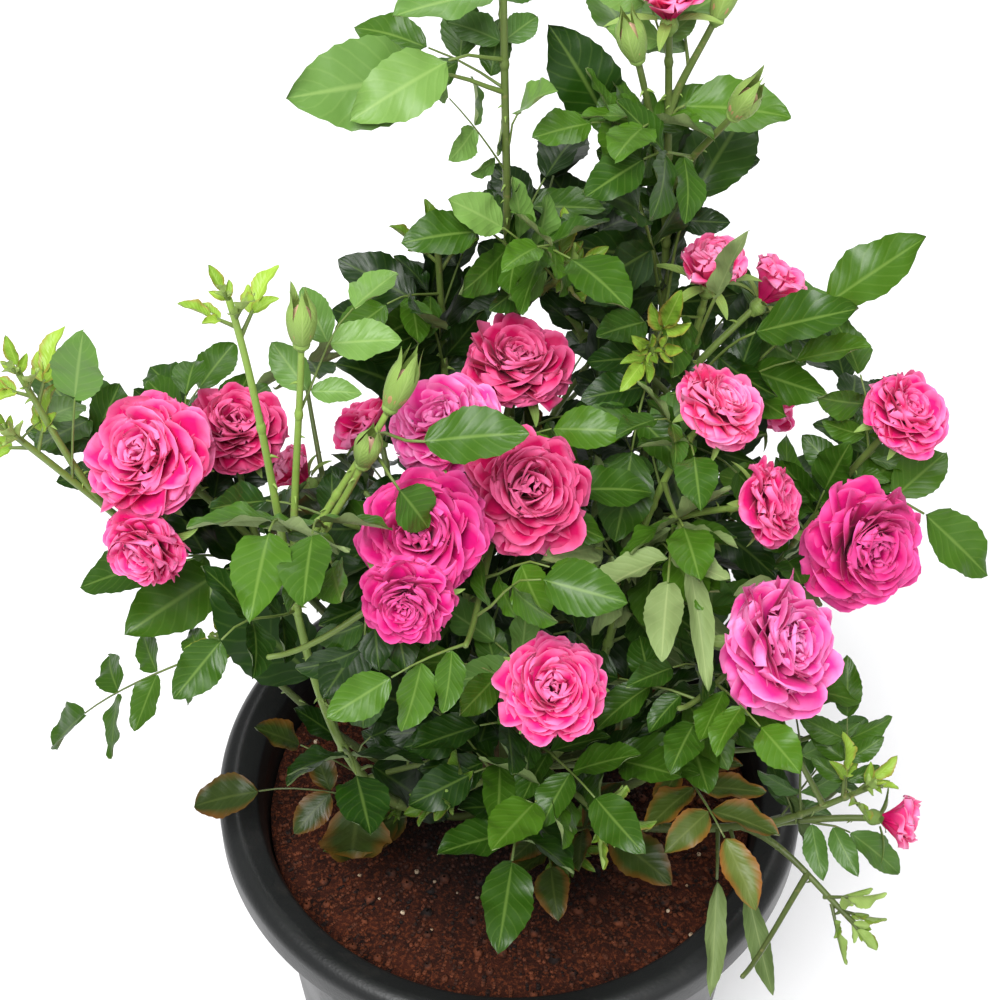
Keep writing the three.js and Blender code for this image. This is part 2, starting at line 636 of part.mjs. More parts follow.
function crownSolid() {
  const middle = CROWN_CENTRE.z;
  const head = [-50, -20, 10, 40, 70].map((degrees) => {
    const angle = THREE.MathUtils.degToRad(degrees);
    return [CROWN_RADIUS * Math.cos(angle), middle + CROWN_RADIUS * Math.sin(angle)];
  });
  const profile = [
    [0, SOIL_TOP + GAP],
    [CROWN_FLARE, SOIL_TOP + GAP],
    [CROWN_NECK + 1.5, SOIL_TOP + 3],
    [CROWN_NECK, middle - CROWN_RADIUS],
    ...head.filter(([radius]) => radius > 0).slice(1),
    [0, middle + CROWN_RADIUS],
  ];
  return solid(lathe(profile, CROWN_SIDES));
}

// ---- the assembly ----

const plastic = new THREE.MeshStandardMaterial({ color: 0x1b1d1f, roughness: 0.45, metalness: 0 });
const soil = new THREE.MeshStandardMaterial({ color: 0x3d1a10, roughness: 0.95, metalness: 0 });
const bark = new THREE.MeshStandardMaterial({ color: 0x6a5335, roughness: 0.8, metalness: 0 });
const cane = new THREE.MeshStandardMaterial({ color: 0x6f8f35, roughness: 0.55, metalness: 0 });
const foliage = new THREE.MeshStandardMaterial({ color: 0x2f5a22, roughness: 0.5, metalness: 0 });

const bush = new THREE.Group();
bush.add(meshOf("pot", potSolid(), plastic));
bush.add(meshOf("soil", soilSolid(), soil));
bush.add(meshOf("crown", crownSolid(), bark));

take([{ centre: CROWN_CENTRE, radius: CROWN_RADIUS }], null);
MASSES.forEach(growStems);
MASSES.forEach(growPlacedLeaves);
MASSES.forEach(clearViews);
MASSES.forEach(growLeaves);
for (const mass of MASSES) {
  if (mass.caneCurve) {
    bush.add(meshOf(`cane_${mass.name}`, solid(limb(mass.caneCurve, CANE_FOOT, CANE_TIP, 6, 5)), cane));
  }
  bush.add(meshOf(`foliage_${mass.name}`, massSolid(mass), foliage));
}

export default bush;
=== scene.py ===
"""A miniature rose bush in full bloom in its nursery pot.

The plant grows by the same seeded rule as its solids, in millimetres, and the rule is then carried on to
whole leaves, finer twigs, petals and sepals. Everything is scaled to metres when its mesh is made.
"""

import math

import bpy
import numpy as np
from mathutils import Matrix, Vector, noise


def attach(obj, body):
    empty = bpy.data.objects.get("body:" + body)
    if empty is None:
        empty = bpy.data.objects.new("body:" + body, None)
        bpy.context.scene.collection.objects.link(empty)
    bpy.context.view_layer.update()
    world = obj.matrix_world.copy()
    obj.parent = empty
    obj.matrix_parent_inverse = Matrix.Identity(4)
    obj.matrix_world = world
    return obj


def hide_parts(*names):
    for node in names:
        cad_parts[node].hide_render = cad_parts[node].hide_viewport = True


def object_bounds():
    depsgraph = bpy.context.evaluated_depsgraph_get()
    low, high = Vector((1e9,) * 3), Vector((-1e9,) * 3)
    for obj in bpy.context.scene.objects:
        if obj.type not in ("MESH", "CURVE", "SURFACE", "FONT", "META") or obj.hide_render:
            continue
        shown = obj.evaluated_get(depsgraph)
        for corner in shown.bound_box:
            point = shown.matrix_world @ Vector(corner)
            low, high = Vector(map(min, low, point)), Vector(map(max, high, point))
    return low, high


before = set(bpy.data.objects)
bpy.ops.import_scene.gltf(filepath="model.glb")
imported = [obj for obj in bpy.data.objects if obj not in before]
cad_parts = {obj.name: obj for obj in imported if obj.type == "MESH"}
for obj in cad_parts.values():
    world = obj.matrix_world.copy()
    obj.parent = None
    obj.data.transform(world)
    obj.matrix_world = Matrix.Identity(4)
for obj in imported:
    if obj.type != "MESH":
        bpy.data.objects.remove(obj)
cad_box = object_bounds()

MM = 0.001
cad_low, cad_high = (np.array(corner) / MM for corner in cad_box)

# ---- driving dimensions, as in the part's source ----

GAP = 0.3

POT_HEIGHT = 180
RIM_RADIUS = 102.5
BASE_RADIUS = 76
WALL_TOP_RADIUS = 89
POT_WALL = 2
LIP_DROP = 14

SOIL_TOP = 162
SOIL_EDGE_DROP = 3

CROWN_RADIUS = 15
CROWN_CENTRE = np.array([0.0, 0.0, SOIL_TOP + 20])
CROWN_FLARE = 19
CROWN_NECK = 12

CANE_FOOT = 2.5
CANE_TIP = 1.8
SIDE_TIP = 1.3
RACHIS_FOOT = 0.8
RACHIS_TIP = 0.65

LAMP = np.array([0.0, -480.0, 810.0])
VIEW_LENGTH = 170
LEAFLETS = 3
LEAF_LENGTH = 74
LEAFLET_LENGTH = 31
LEAFLET_WIDTH = 0.74
PAIR_STEP = 0.36
PAIR_RANGE = 0.75
PAIR_SPREAD = 1.1
LEAF_TURN = (2 / 5) * 2 * math.pi
STEM_TURN = 1.7
TRIES = 6
TRY_TURN = 0.9

LEAF_ROOM = 2.6
TWIG_ROOM = 1.0
OWN_SHARE = 0.35
BALL_STEP = 4
STALK_IN_STEM = 2
FLOOR_ROOM = 12


def new_shoot(end, start, at, size, **more):
    """One shoot: what it ends in, the share of the first stem it leaves from, its end and its size."""
    return {"end": end, "from": start, "at": at, "size": size, **more}


def bloom(start, at, size, faces, leaves=1, tint="pink"):
    return new_shoot("bloom", start, at, size, faces=faces, leaves=leaves, tint=tint)


def cup(start, at, size, faces, leaves=1, tint="rose"):
    return new_shoot("cup", start, at, size, faces=faces, leaves=leaves, tint=tint)


def bud(start, at, size, faces, leaves=1):
    return new_shoot("bud", start, at, size, faces=faces, leaves=leaves)


def sprout(start, at, leaves=2):
    return new_shoot("sprout", start, at, 3, faces=None, leaves=leaves)


def leaf(start, at, leaflets=5, size=1):
    return new_shoot("leaf", start, at, size, leaflets=leaflets, leaves=0)


def mass(name, foot, cane, vigour, turn, fill, shoots, age="grown"):
    """One mass, as in the part's source, with how thickly more leaves fill it and how old it is."""
    return {
        "name": name,
        "foot": foot,
        "cane": cane,
        "vigour": vigour,
        "turn": turn,
        "fill": fill,
        "shoots": shoots,
        "age": age,
    }


MASSES = [
    mass("top_centre", [95, 70], [0, 22, 290], 1, 2.8, 0.25, [
        sprout(0, [-3, 22, 506], 3),
        sprout(0.35, [20, 14, 400], 5),
        leaf(0.62, [-24, 8, 470], 5, 0.5),
        leaf(0.75, [-55, -3, 470], 1, 1.2),
        leaf(0.8, [-41, -8, 467], 1, 1),
        leaf(0.85, [-32, 8, 487], 1, 1),
        leaf(0.65, [11, 12, 463], 1, 0.65)]),
    mass("top_right", [45, 50], [38, 30, 270], 1.05, 0, 0.35, [
        cup(0, [42, 38, 474], 20, [-0.1, 0, 1], 6),
        bud(0.8, [57, 42, 468], 8.5, [0.2, 0.1, 1], 0),
        bud(0.6, [32, 24, 467], 9.5, [-0.3, -0.2, 1], 0),
        bud(0.65, [61, 12, 456], 9.5, [0.3, -0.4, 0.9], 0),
        sprout(0.4, [40, -2, 380], 3),
        leaf(0.8, [76, 30, 443], 1, 0.9),
        leaf(0.5, [13, 40, 462], 3, 1.1),
        leaf(0.45, [27, 2, 444], 3, 1.1)]),
    mass("right_upper", [0, 48], [34, 18, 250], 1, 0, 1, [
        cup(0, [59, 25, 390], 20, [0.1, -0.1, 1], 5),
        cup(0.65, [80, 38, 372], 18, [0.5, 0.3, 0.9], 0),
        leaf(0.4, [121, 36, 391], 3, 1.15),
        leaf(0.45, [65, -5, 431], 1, 1.3),
        leaf(0.6, [94, 8, 390], 3, 1),
        leaf(0.5, [108, 16, 366], 3, 0.8)]),
    mass("right", [354, 16], [54, -4, 232], 0.95, 3.5, 0.8, [
        bloom(0, [119, 5, 350], 28, [0.4, -0.4, 0.8], 2),
        bloom(0.6, [108, -22, 318], 39, [0.45, -0.7, 0.45], 1, "purple"),
        leaf(0.7, [151, -12, 294], 3, 1.1),
        leaf(0.6, [138, 20, 314], 3, 0.85),
        leaf(0.6, [103, 5, 338], 3, 0.8)]),
    mass("right_middle", [310, 50], [20, -30, 240], 1, 2.1, 1, [
        bloom(0, [61, -10, 368], 28, [0.75, -0.15, 0.5], 5, "rose"),
        bloom(0.6, [77, -27, 343], 26, [0.9, -0.25, 0.25], 2),
        leaf(0.5, [9, -60, 358], 3, 1.1),
        leaf(0.75, [57, -83, 316], 1, 1.45)]),
    mass("right_front", [325, 21], [38, -34, 216], 0.95, 4.9, 0.9, [
        bloom(0, [80, -58, 316], 40, [0.85, -0.5, 0.2], 2, "lilac"),
        leaf(0.5, [106, -46, 280], 3, 0.9)]),
    mass("low_right", [305, -6], [50, -42, 204], 0.85, 0.7, 0.9, [
        cup(0, [124, -58, 230], 16, [0.9, -0.25, -0.1], 1),
        sprout(0.45, [112, -66, 260], 2),
        sprout(0.35, [112, -82, 204], 0),
        leaf(0.6, [127, -66, 212], 3, 0.9),
        leaf(0.57, [103, -61, 210], 1, 1.2),
        leaf(0.4, [83, -64, 230], 1, 0.8),
        leaf(0.3, [82, -100, 194], 1, 1.3),
        leaf(0.25, [63, -103, 197], 1, 1.45)], "young"),
    mass("front", [268, 22], [3, -38, 216], 1, 0.7, 0.6, [
        bloom(0, [12, -80, 324], 31, [0.02, -0.7, 0.7], 3),
        sprout(0.35, [-24, -78, 266], 1),
        sprout(0.35, [34, -84, 258], 0),
        leaf(0.3, [55, -72, 280], 3, 0.9)]),
    mass("centre", [262, 58], [-3, -16, 240], 0.95, 3.5, 1, [
        bloom(0, [-25, -64, 370], 38, [-0.05, -0.8, 0.5], 4, "purple"),
        bloom(0.75, [-29, -82, 361], 25, [-0.15, -0.95, 0.05], 1, "purple"),
        bloom(0.45, [-20, -24, 374], 33, [-0.35, -0.3, 0.85], 1, "lilac"),
        bloom(0.5, [5, -46, 369], 35, [0.1, -0.85, 0.5], 2, "crimson"),
        bloom(0.4, [2, 2, 374], 32, [0.1, -0.4, 0.85], 1, "crimson")]),
    mass("upper_left", [145, 50], [-16, 12, 256], 1, 1.4, 0.8, [
        sprout(0, [-22, 30, 400], 3),
        leaf(0.75, [-53, 34, 391], 3, 1),
        leaf(0.5, [-52, 6, 370], 3, 1),
        leaf(0.65, [-28, -2, 398], 3, 0.9)]),
    mass("left_front", [230, 22], [-38, -42, 218], 0.95, 4.9, 0.25, [
        sprout(0, [-73, -45, 440], 3),
        bud(0.5, [-55, -42, 425], 9.5, [0.05, 0, 1], 2),
        bud(0.53, [-31, -42, 402], 9.5, [0.3, 0.1, 1], 1),
        bud(0.51, [-39, -56, 393], 8.5, [0.1, -0.3, 1], 1),
        leaf(0.12, [-53, -52, 188], 1, 1.35),
        leaf(0.14, [-16, -52, 224], 1, 1.25),
        leaf(0.16, [-66, -47, 276], 1, 0.65),
        leaf(0.16, [-29, -53, 277], 1, 0.65),
        leaf(0.2, [-84, -50, 330], 1, 1.5)]),
    mass("left", [195, 50], [-44, 8, 228], 1, 1.4, 0.7, [
        bloom(0, [-108, -14, 351], 38, [-0.3, -0.6, 0.65], 3),
        bloom(0.78, [-109, -32, 328], 27, [-0.4, -0.85, -0.05], 0),
        bloom(0.5, [-84, 14, 336], 30, [0.3, -0.5, 0.75], 2, "crimson"),
        leaf(0.45, [-138, 0, 276], 3, 0.95),
        leaf(0.4, [-118, -28, 286], 3, 1.1)]),
    mass("far_left", [170, 18], [-64, 8, 226], 0.8, 5.6, 0.15, [
        sprout(0, [-146, -18, 366], 0),
        sprout(0.7, [-140, -14, 385], 0),
        leaf(0.8, [-120, -16, 396], 1, 0.95),
        leaf(0.95, [-125, 4, 357], 1, 0.75)]),
    mass("low_left", [200, -4], [-38, -18, 204], 1.1, 2.1, 0.1, [
        sprout(0, [-87, -38, 297], 0),
        leaf(0.95, [-151, -30, 234], 7, 0.68)]),
    mass("base_left", [240, -8], None, 1, 0, 0, [
        sprout(0, [-42, -34, 205], 0),
        leaf(0.5, [-107, -26, 195], 5, 0.76),
        leaf(0.6, [-62, -46, 198], 1, 0.9),
        leaf(0.8, [-81, -42, 258], 1, 0.65)], "old"),
    mass("base_front", [283, -8], None, 0.85, 0.7, 0.4, [
        sprout(0, [22, -48, 196], 0),
        leaf(0.5, [15, -72, 196], 3, 0.76),
        leaf(0.6, [0, -52, 200], 1, 0.8),
        leaf(0.6, [50, -70, 219], 3, 0.95)]),
    mass("back_right", [40, 18], [42, 40, 226], 1, 3.5, 1, [
        bloom(0, [84, 84, 284], 34, [0.5, 0.6, 0.6], 4),
        bud(0.5, [64, 98, 312], 9.5, [0.2, 0.5, 0.9], 3)]),
    mass("back", [88, 18], [5, 52, 222], 1, 1.4, 1, [
        bloom(0, [4, 116, 266], 32, [0.05, 0.8, 0.5], 4, "lilac"),
        sprout(0.45, [36, 106, 294], 2),
        sprout(0.4, [-18, 92, 298], 2)]),
    mass("back_left", [133, 18], [-34, 42, 222], 1, 2.1, 0.8, [
        bloom(0, [-48, 92, 264], 30, [-0.4, 0.7, 0.5], 6),
        cup(0.5, [-76, 66, 264], 18, [-0.5, 0.3, 0.9], 2)]),
    mass("base_back", [112, -6], None, 1, 0, 1, [
        sprout(0, [-16, 62, 220], 3),
        leaf(0.4, [44, 92, 210], 3, 1),
        leaf(0.4, [-66, 80, 208], 3, 1)], "old"),
]

# ---- what is added to the rule ----

# What sets the numbers drawn for one purpose apart from those for another.
SEEDS = {
    "leaf": 20,
    "prickle": 30,
    "cane_prickle": 31,
    "sepal": 50,
    "whole_leaf": 60,
    "bud": 70,
    "more_leaves": 80,
    "tuft": 90,
    "kind": 99,
    "twig": 140,
    "twig_leaf": 180,
    "soil": 7,
}
MOST_STEMS = 16  # of one mass, for the seeds of its flowers

FINE_LEAFLET = 30  # length of a real leaflet, in place of the fewer and larger ones of the solids
FINE_WIDTH = 0.6  # of a real leaflet's length
FINE_ROOM = 1.1
FINE_STEM_ROOM = 0.5
FINE_STALK_ROOM = 0.2
FINE_PAIR_STEP = 0.4
FINE_PAIR_RANGE = 0.8
SEVEN_LEAFLETS = 0.2  # share of leaves that have seven leaflets, where most have five
EXTRA_LEAFLETS = 5
EXTRA_LENGTH = 62  # of a leaf between those of the solids
EXTRA_SIZE = 0.86
EXTRA_EVERY = 16  # along a stem
CANE_LEAF_FROM = 0.55  # of a cane, below which it is bare
SIDE_LEAF_FROM = 0.1
LEAF_UNTIL = 0.92
EXTRA_STEM_TURN = 2.1
SKIRT_START = 184  # height over the crown of the cone that what is added stays above
SKIRT_RISE = 0.85
TWIG_EVERY = 60
TWIG_LENGTH = 42
TWIG_TURN = 2.4
TWIG_TRIES = 4
TWIG_TRY_TURN = 1.6
TWIG_LEAVES = 3
TWIG_LEAF_SIZE = 0.78
TWIG_FOOT = 1.2
TWIG_TIP = 0.8
SPROUT_LEAF = 13
STEM_TAPER = 0.55  # how soon a stem thins: by less than 1, most of it near its foot
STEM_TONE = {"left_front": 1, "right_middle": 0.9, "right_upper": 0.6, "low_right": 0.7, "far_left": 0.6}
YOUNG_FROM = {"top_centre": 425, "left_front": 415, "far_left": 330, "top_right": 455}
OLD_BELOW = 262  # height under which leaves are more often old
OLD_SHARE = {"base_front": 0.8, "low_left": 0.7, "left_front": 0.6, "front": 0.6, "left": 0.2}
USUAL_OLD_SHARE = 0.42
SURE_KIND = 0.95  # share of old leaves in an old mass, and of young ones among a young mass's first leaves
YOUNG_SHARE = {"left_front": 0.15}  # of the leaves added where a mass is young
USUAL_YOUNG_SHARE = 0.7
STRAY_YOUNG = 0.05
HANGING = ("right_upper", "right_middle", "low_right")  # masses whose single leaves hang folded
HANGING_WIDTH = 0.42
HANGING_FOLD = 0.9
TURNED_OVER = {"right_middle": (0, 3, 4, 7)}  # which of a mass's leaves show their pale underside
NARROW = {"right_middle": 0.72, "right_upper": 0.85, "right_front": 0.85, "low_right": 0.8}  # folded leaflets
LEAVES_OVER_BLOOMS = [  # mass, stem and place on it, the two ends of the blade, its width for its length
    ("left_front", 2, 0.75, [-23, -62, 403], [4, -64, 409], 0.58),
    ("left_front", 2, 0.68, [-30, -66, 389], [-22, -67, 375], 0.85),
]
# Painted shade of inner leaves: leaflets that others stand over are darkened in colour, as in their shadow.
SHADE_TOWARD = np.array([0.0, -0.45, 1.0])  # from where what stands over a leaf takes its light
SHADE_REACH = 19
SHADE_FROM = 15
SHADE_DEPTH = 90
SHADE_HEIGHTS = (380, 440)  # between which the shade weakens, and how strong it is at each
SHADE_STRENGTHS = (1.8, 0.9)

OPENING_SPAN = (120, 180)  # how far an opening runs behind its place and ahead of it

# Places and radii of openings between the boughs, kept clear of what is added, towards the light.
OPENINGS = [
    ([-32, 0, 438], 13),
    ([-50, 0, 421], 13),
    ([-17, 0, 450], 8),
    ([8, 0, 488], 8),
    ([12, 0, 468], 4),
    ([76, 0, 445], 11),
    ([91, 0, 432], 9),
    ([62, 0, 485], 9),
    ([-58, 0, 421], 9),
    ([-75, 0, 419], 12),
    ([-103, 0, 386], 11),
    ([-127, 0, 398], 9),
    ([112, 0, 383], 8),
    ([130, 0, 330], 5),
    ([128, 0, 250], 12),
    ([120, 0, 208], 6),
    ([151, 0, 208], 12),
    ([-101, 0, 260], 9),
    ([-119, 0, 185], 19),
    ([-83, 0, 289], 3),
    ([170, 0, 112], 19),
    ([-56, 0, 460], 16),
    ([-72, -47, 166], 12),
    ([-42, -57, 166], 14),
    ([-14, -47, 166], 14),
    ([-24, -71, 166], 14),
    ([12, -71, 166], 10),
    ([40, -63, 166], 11),
    ([-91, -25, 166], 8),
    ([64, -57, 166], 10),
]

# ---- numbers, directions and stems ----

UP = np.array([0.0, 0.0, 1.0])


def vec(values):
    return np.array(values, float)


def unit(v):
    return v / np.linalg.norm(v)


def square_to(v, axis):
    """The part of a vector square to an axis, as a direction."""
    return unit(v - axis * (v @ axis))


def turned(v, axis, angle):
    """A vector turned about an axis."""
    cos, sin = math.cos(angle), math.sin(angle)
    return v * cos + np.cross(axis, v) * sin + axis * (axis @ v) * (1 - cos)


def seeded(*parts):
    """A source of numbers from 0 to 1 that follow from the seed alone."""
    state = 7
    for part in parts:
        state = (state * 31 + part + 1) & 0xFFFFFFFF

    def step():
        nonlocal state
        state = (state * 1664525 + 1013904223) & 0xFFFFFFFF
        return state / 4294967296

    step()
    step()
    return step


def between(random, low, high):
    return low + (high - low) * random()


class Stem:
    """A curve from one place to another, leaving and arriving in given directions."""

    def __init__(self, start, start_way, end, end_way):
        third = np.linalg.norm(end - start) / 3
        self.points = np.array([start, start + start_way * third, end - end_way * third, end])
        steps = np.diff(self.at(np.linspace(0, 1, 201)), axis=0)
        self.length = np.linalg.norm(steps, axis=1).sum()

    def at(self, share):
        t = np.asarray(share, float)[..., None]
        a, b, c, d = self.points
        return (1 - t) ** 3 * a + 3 * (1 - t) ** 2 * t * b + 3 * (1 - t) * t**2 * c + t**3 * d

    def way(self, share):
        t = np.asarray(share, float)[..., None]
        a, b, c, d = self.points
        slope = (1 - t) ** 2 * (b - a) + 2 * (1 - t) * t * (c - b) + t**2 * (d - c)
        return slope / np.linalg.norm(slope, axis=-1, keepdims=True)


def shoot_stem(shoot, main, foot, foot_way):
    """Where a shoot's stem runs, from the main stem or the mass's foot."""
    end = vec(shoot["at"])
    start = foot if main is None else main.at(shoot["from"])
    to_end = unit(end - start)
    leave = foot_way if main is None else unit(main.way(shoot["from"]) + to_end)
    if shoot["faces"]:
        arrive = unit(unit(vec(shoot["faces"])) + to_end)
    else:
        arrive = to_end
    return Stem(start, leave, end, arrive)


# ---- room: balls that stand for what is already there ----


MOST_BALLS = 400000
SHARED = -1  # owner of what no mass may crowd more than another


class Room:
    def __init__(self):
        self.count = 0
        self.centres = np.zeros((MOST_BALLS, 3))
        self.radii = np.zeros(MOST_BALLS)
        self.owners = np.zeros(MOST_BALLS, int)

    def take(self, balls, owner):
        centres, radius = balls
        added = slice(self.count, self.count + len(centres))
        self.centres[added] = centres
        self.radii[added] = radius
        self.owners[added] = owner
        self.count += len(centres)

    def is_free(self, balls, owner):
        centres, radius = balls
        if not len(centres):
            return True
        if in_pot(centres).any():
            return False
        middle = centres.mean(0)
        reach = np.linalg.norm(centres - middle, axis=1).max() + radius
        taken = slice(0, self.count)
        apart = np.linalg.norm(self.centres[taken] - middle, axis=1)
        near = np.flatnonzero(apart < reach + self.radii[taken])
        if not len(near):
            return True
        gaps = np.linalg.norm(centres[:, None] - self.centres[near][None], axis=2)
        needed = (radius + self.radii[near]) * np.where(self.owners[near] == owner, OWN_SHARE, 1)
        return bool((gaps > needed).all())


def in_pot(points):
    away = np.hypot(points[:, 0], points[:, 1])
    over_rim = np.where(away < RIM_RADIUS + LEAF_ROOM, POT_HEIGHT + LEAF_ROOM, FLOOR_ROOM)
    return points[:, 2] < np.where(away < WALL_TOP_RADIUS - LEAF_ROOM, SOIL_TOP + LEAF_ROOM, over_rim)


def stem_balls(stem, radius):
    count = math.ceil(stem.length / BALL_STEP)
    return stem.at(np.arange(count + 1) / count), radius + TWIG_ROOM


def leaflet_balls(leaflet, width=LEAFLET_WIDTH, room=LEAF_ROOM):
    side = np.cross(leaflet["out"], leaflet["up"])
    share = np.arange(1, 7)[:, None] / 6
    half = width / 2 * leaflet["length"] * np.sin(np.pi * np.minimum(1, 0.08 + 0.92 * share) ** 0.8)
    across = half * np.array([-1, -0.5, 0, 0.5, 1])
    along = np.broadcast_to(share * leaflet["length"], across.shape)
    centres = leaflet["base"] + along[..., None] * leaflet["out"] + across[..., None] * side
    return centres.reshape(-1, 3), room


def end_balls(shoot, way):
    centre, radius = vec(shoot["at"]), shoot["size"] / 2
    if shoot["end"] != "bloom":
        return [(centre[None], radius)]
    ring = [centre + 0.6 * radius * turned(square_to(UP, way), way, i * math.pi / 3) for i in range(6)]
    return [(centre[None], 0.5 * radius), (np.array(ring), 0.45 * radius)]


# ---- the rule of growth ----


def toward_light(place):
    """Where a leaf at a place faces: halfway between straight up and the light."""
    return unit(unit(LAMP - place) + UP)


def leaflet_seats(rachis, count, roll, most_apart, reach, smallest):
    """Where leaflets join a rachis, in pairs and one at its end: place, axes, hand and share of length."""
    light = toward_light(rachis.at(1))
    pairs = (count - 1) // 2
    step = min(most_apart, reach / max(pairs, 1))
    for k in range(pairs + 1):
        share = 1 - (pairs - k) * step
        tangent = rachis.way(share)
        normal = turned(square_to(light, tangent), tangent, roll)
        axes = tangent, np.cross(tangent, normal), normal
        for hand in [0] if k == pairs else [-1, 1]:
            yield rachis.at(share), axes, hand, smallest + 0.26 * (k + 1) / pairs if hand else 1


def leaflet_way(axes, spread, tilt):
    tangent, side, normal = axes
    return unit(tangent * math.cos(spread) + side * math.sin(spread) + normal * tilt)


def compound_leaf(random, start, tip, leaflets, size):
    """A rachis with pairs of leaflets, and one at its end that reaches the tip."""
    way = unit(tip - start)
    leave = unit(way + UP * between(random, 0.15, 0.4))
    arrive = unit(way - UP * between(random, 0.1, 0.45))
    rachis = Stem(start, leave, tip - arrive * LEAFLET_LENGTH * size, arrive)
    roll = between(random, -0.25, 0.25)
    made = []
    for place, axes, hand, share_of_end in leaflet_seats(rachis, leaflets, roll, PAIR_STEP, PAIR_RANGE, 0.66):
        spread = hand * (PAIR_SPREAD + between(random, -0.15, 0.15))
        tilt = between(random, -0.3, 0.12)
        twist = between(random, -0.3, 0.3)
        scale = between(random, 0.88, 1.08)
        out = leaflet_way(axes, spread, tilt)
        set_back = 0 if hand else 2 * RACHIS_TIP
        made.append({
            "base": place - out * set_back,
            "out": out,
            "up": turned(square_to(axes[2], out), out, twist),
            "length": LEAFLET_LENGTH * size * scale * share_of_end,
        })
    return {"rachis": rachis, "leaflets": made, "roll": roll, "size": size}


def room_for(room, grown, owner):
    """The leaflets that have room, or none where the stalk or the end leaflet has none."""
    points, radius = stem_balls(grown["rachis"], RACHIS_FOOT)
    if not room.is_free((points[STALK_IN_STEM:], radius), owner):
        return []
    free = [item for item in grown["leaflets"] if room.is_free(leaflet_balls(item), owner)]
    return free if free and free[-1] is grown["leaflets"][-1] else []


def leaf_reach(random, stem, share, turn, length):
    tangent = stem.way(share)
    out = square_to(np.array([math.cos(turn), math.sin(turn), 0.25]), tangent)
    rise = between(random, 0.15, 0.6)
    start = stem.at(share)
    return start, start + (out * math.cos(rise) + tangent * math.sin(rise)) * length


def grow_stems(mass, owner, room):
    azimuth, elevation = np.radians(mass["foot"])
    way = np.array([
        math.cos(azimuth) * math.cos(elevation),
        math.sin(azimuth) * math.cos(elevation),
        math.sin(elevation),
    ])
    foot = CROWN_CENTRE + way * (CROWN_RADIUS + GAP)
    mass["cane_stem"] = None
    if mass["cane"]:
        end = vec(mass["cane"])
        onward = unit(vec(mass["shoots"][0]["at"]) - end)
        arrive = unit(onward + unit(end - foot))
        mass["cane_stem"] = Stem(foot, way, end, arrive)
        room.take(stem_balls(mass["cane_stem"], CANE_TIP), SHARED)
        foot, way = end + arrive * GAP, arrive
    mass["stems"], mass["leaves"] = [], []
    for shoot in mass["shoots"]:
        if shoot["end"] == "leaf":
            continue
        main = mass["stems"][0][1] if mass["stems"] else None
        stem = shoot_stem(shoot, main, foot, way)
        mass["stems"].append((shoot, stem))
        room.take(stem_balls(stem, SIDE_TIP), owner)
        for balls in end_balls(shoot, stem.way(1)):
            room.take(balls, SHARED)


def view_balls(place, radius, behind=0, ahead=VIEW_LENGTH):
    """Balls in a line through a place towards the light."""
    steps = np.arange(-behind, ahead, 0.7 * radius)
    return place + steps[:, None] * unit(LAMP - place), radius


def clear_views(mass, owner, room):
    """Keeps what opens to the light clear of the leaves that are still to grow."""
    for shoot, _ in mass["stems"]:
        if shoot["end"] != "sprout":
            room.take(view_balls(vec(shoot["at"]), 0.45 * shoot["size"]), SHARED)


def grow_leaf(mass, owner, room, leaflets, attempt_at):
    best, best_free = None, []
    for attempt in range(TRIES):
        if len(best_free) >= leaflets:
            break
        grown = attempt_at(attempt)
        free = room_for(room, grown, owner)
        if len(free) > len(best_free):
            best, best_free = grown, free
    if best is None:
        return
    mass["leaves"].append(best)
    points, radius = stem_balls(best["rachis"], RACHIS_FOOT)
    room.take((points[STALK_IN_STEM:], radius), owner)
    for item in best_free:
        room.take(leaflet_balls(item), owner)


def grow_placed_leaves(mass, owner, room):
    for i, shoot in enumerate(mass["shoots"]):
        if shoot["end"] != "leaf":
            continue
        start = mass["stems"][0][1].at(shoot["from"])
        size = shoot["size"] * mass["vigour"]
        grow_leaf(mass, owner, room, shoot["leaflets"], lambda attempt: compound_leaf(
            seeded(owner, i, attempt), start, vec(shoot["at"]), shoot["leaflets"], size))


def grow_leaves(mass, owner, room):
    for i, (shoot, stem) in enumerate(mass["stems"]):
        for k in range(shoot["leaves"]):
            share = (k + 0.7) / (shoot["leaves"] + 0.4)
            size = mass["vigour"] * (1.05 - 0.5 * share)

            def attempt_at(attempt):
                random = seeded(owner, SEEDS["leaf"] + i, k, attempt)
                turn = mass["turn"] + i * STEM_TURN + k * LEAF_TURN + attempt * TRY_TURN
                turn += between(random, -0.3, 0.3)
                start, tip = leaf_reach(random, stem, share, turn, LEAF_LENGTH * size)
                return compound_leaf(random, start, tip, LEAFLETS, size)

            grow_leaf(mass, owner, room, LEAFLETS, attempt_at)


def grow_solids():
    """Grows the plant as the solids have it."""
    room = Room()
    room.take((CROWN_CENTRE[None], CROWN_RADIUS), SHARED)
    for step in (grow_stems, grow_placed_leaves, clear_views, grow_leaves):
        for owner, mass in enumerate(MASSES):
            step(mass, owner, room)


# ---- the rule carried on: whole leaves, more leaves and finer twigs ----


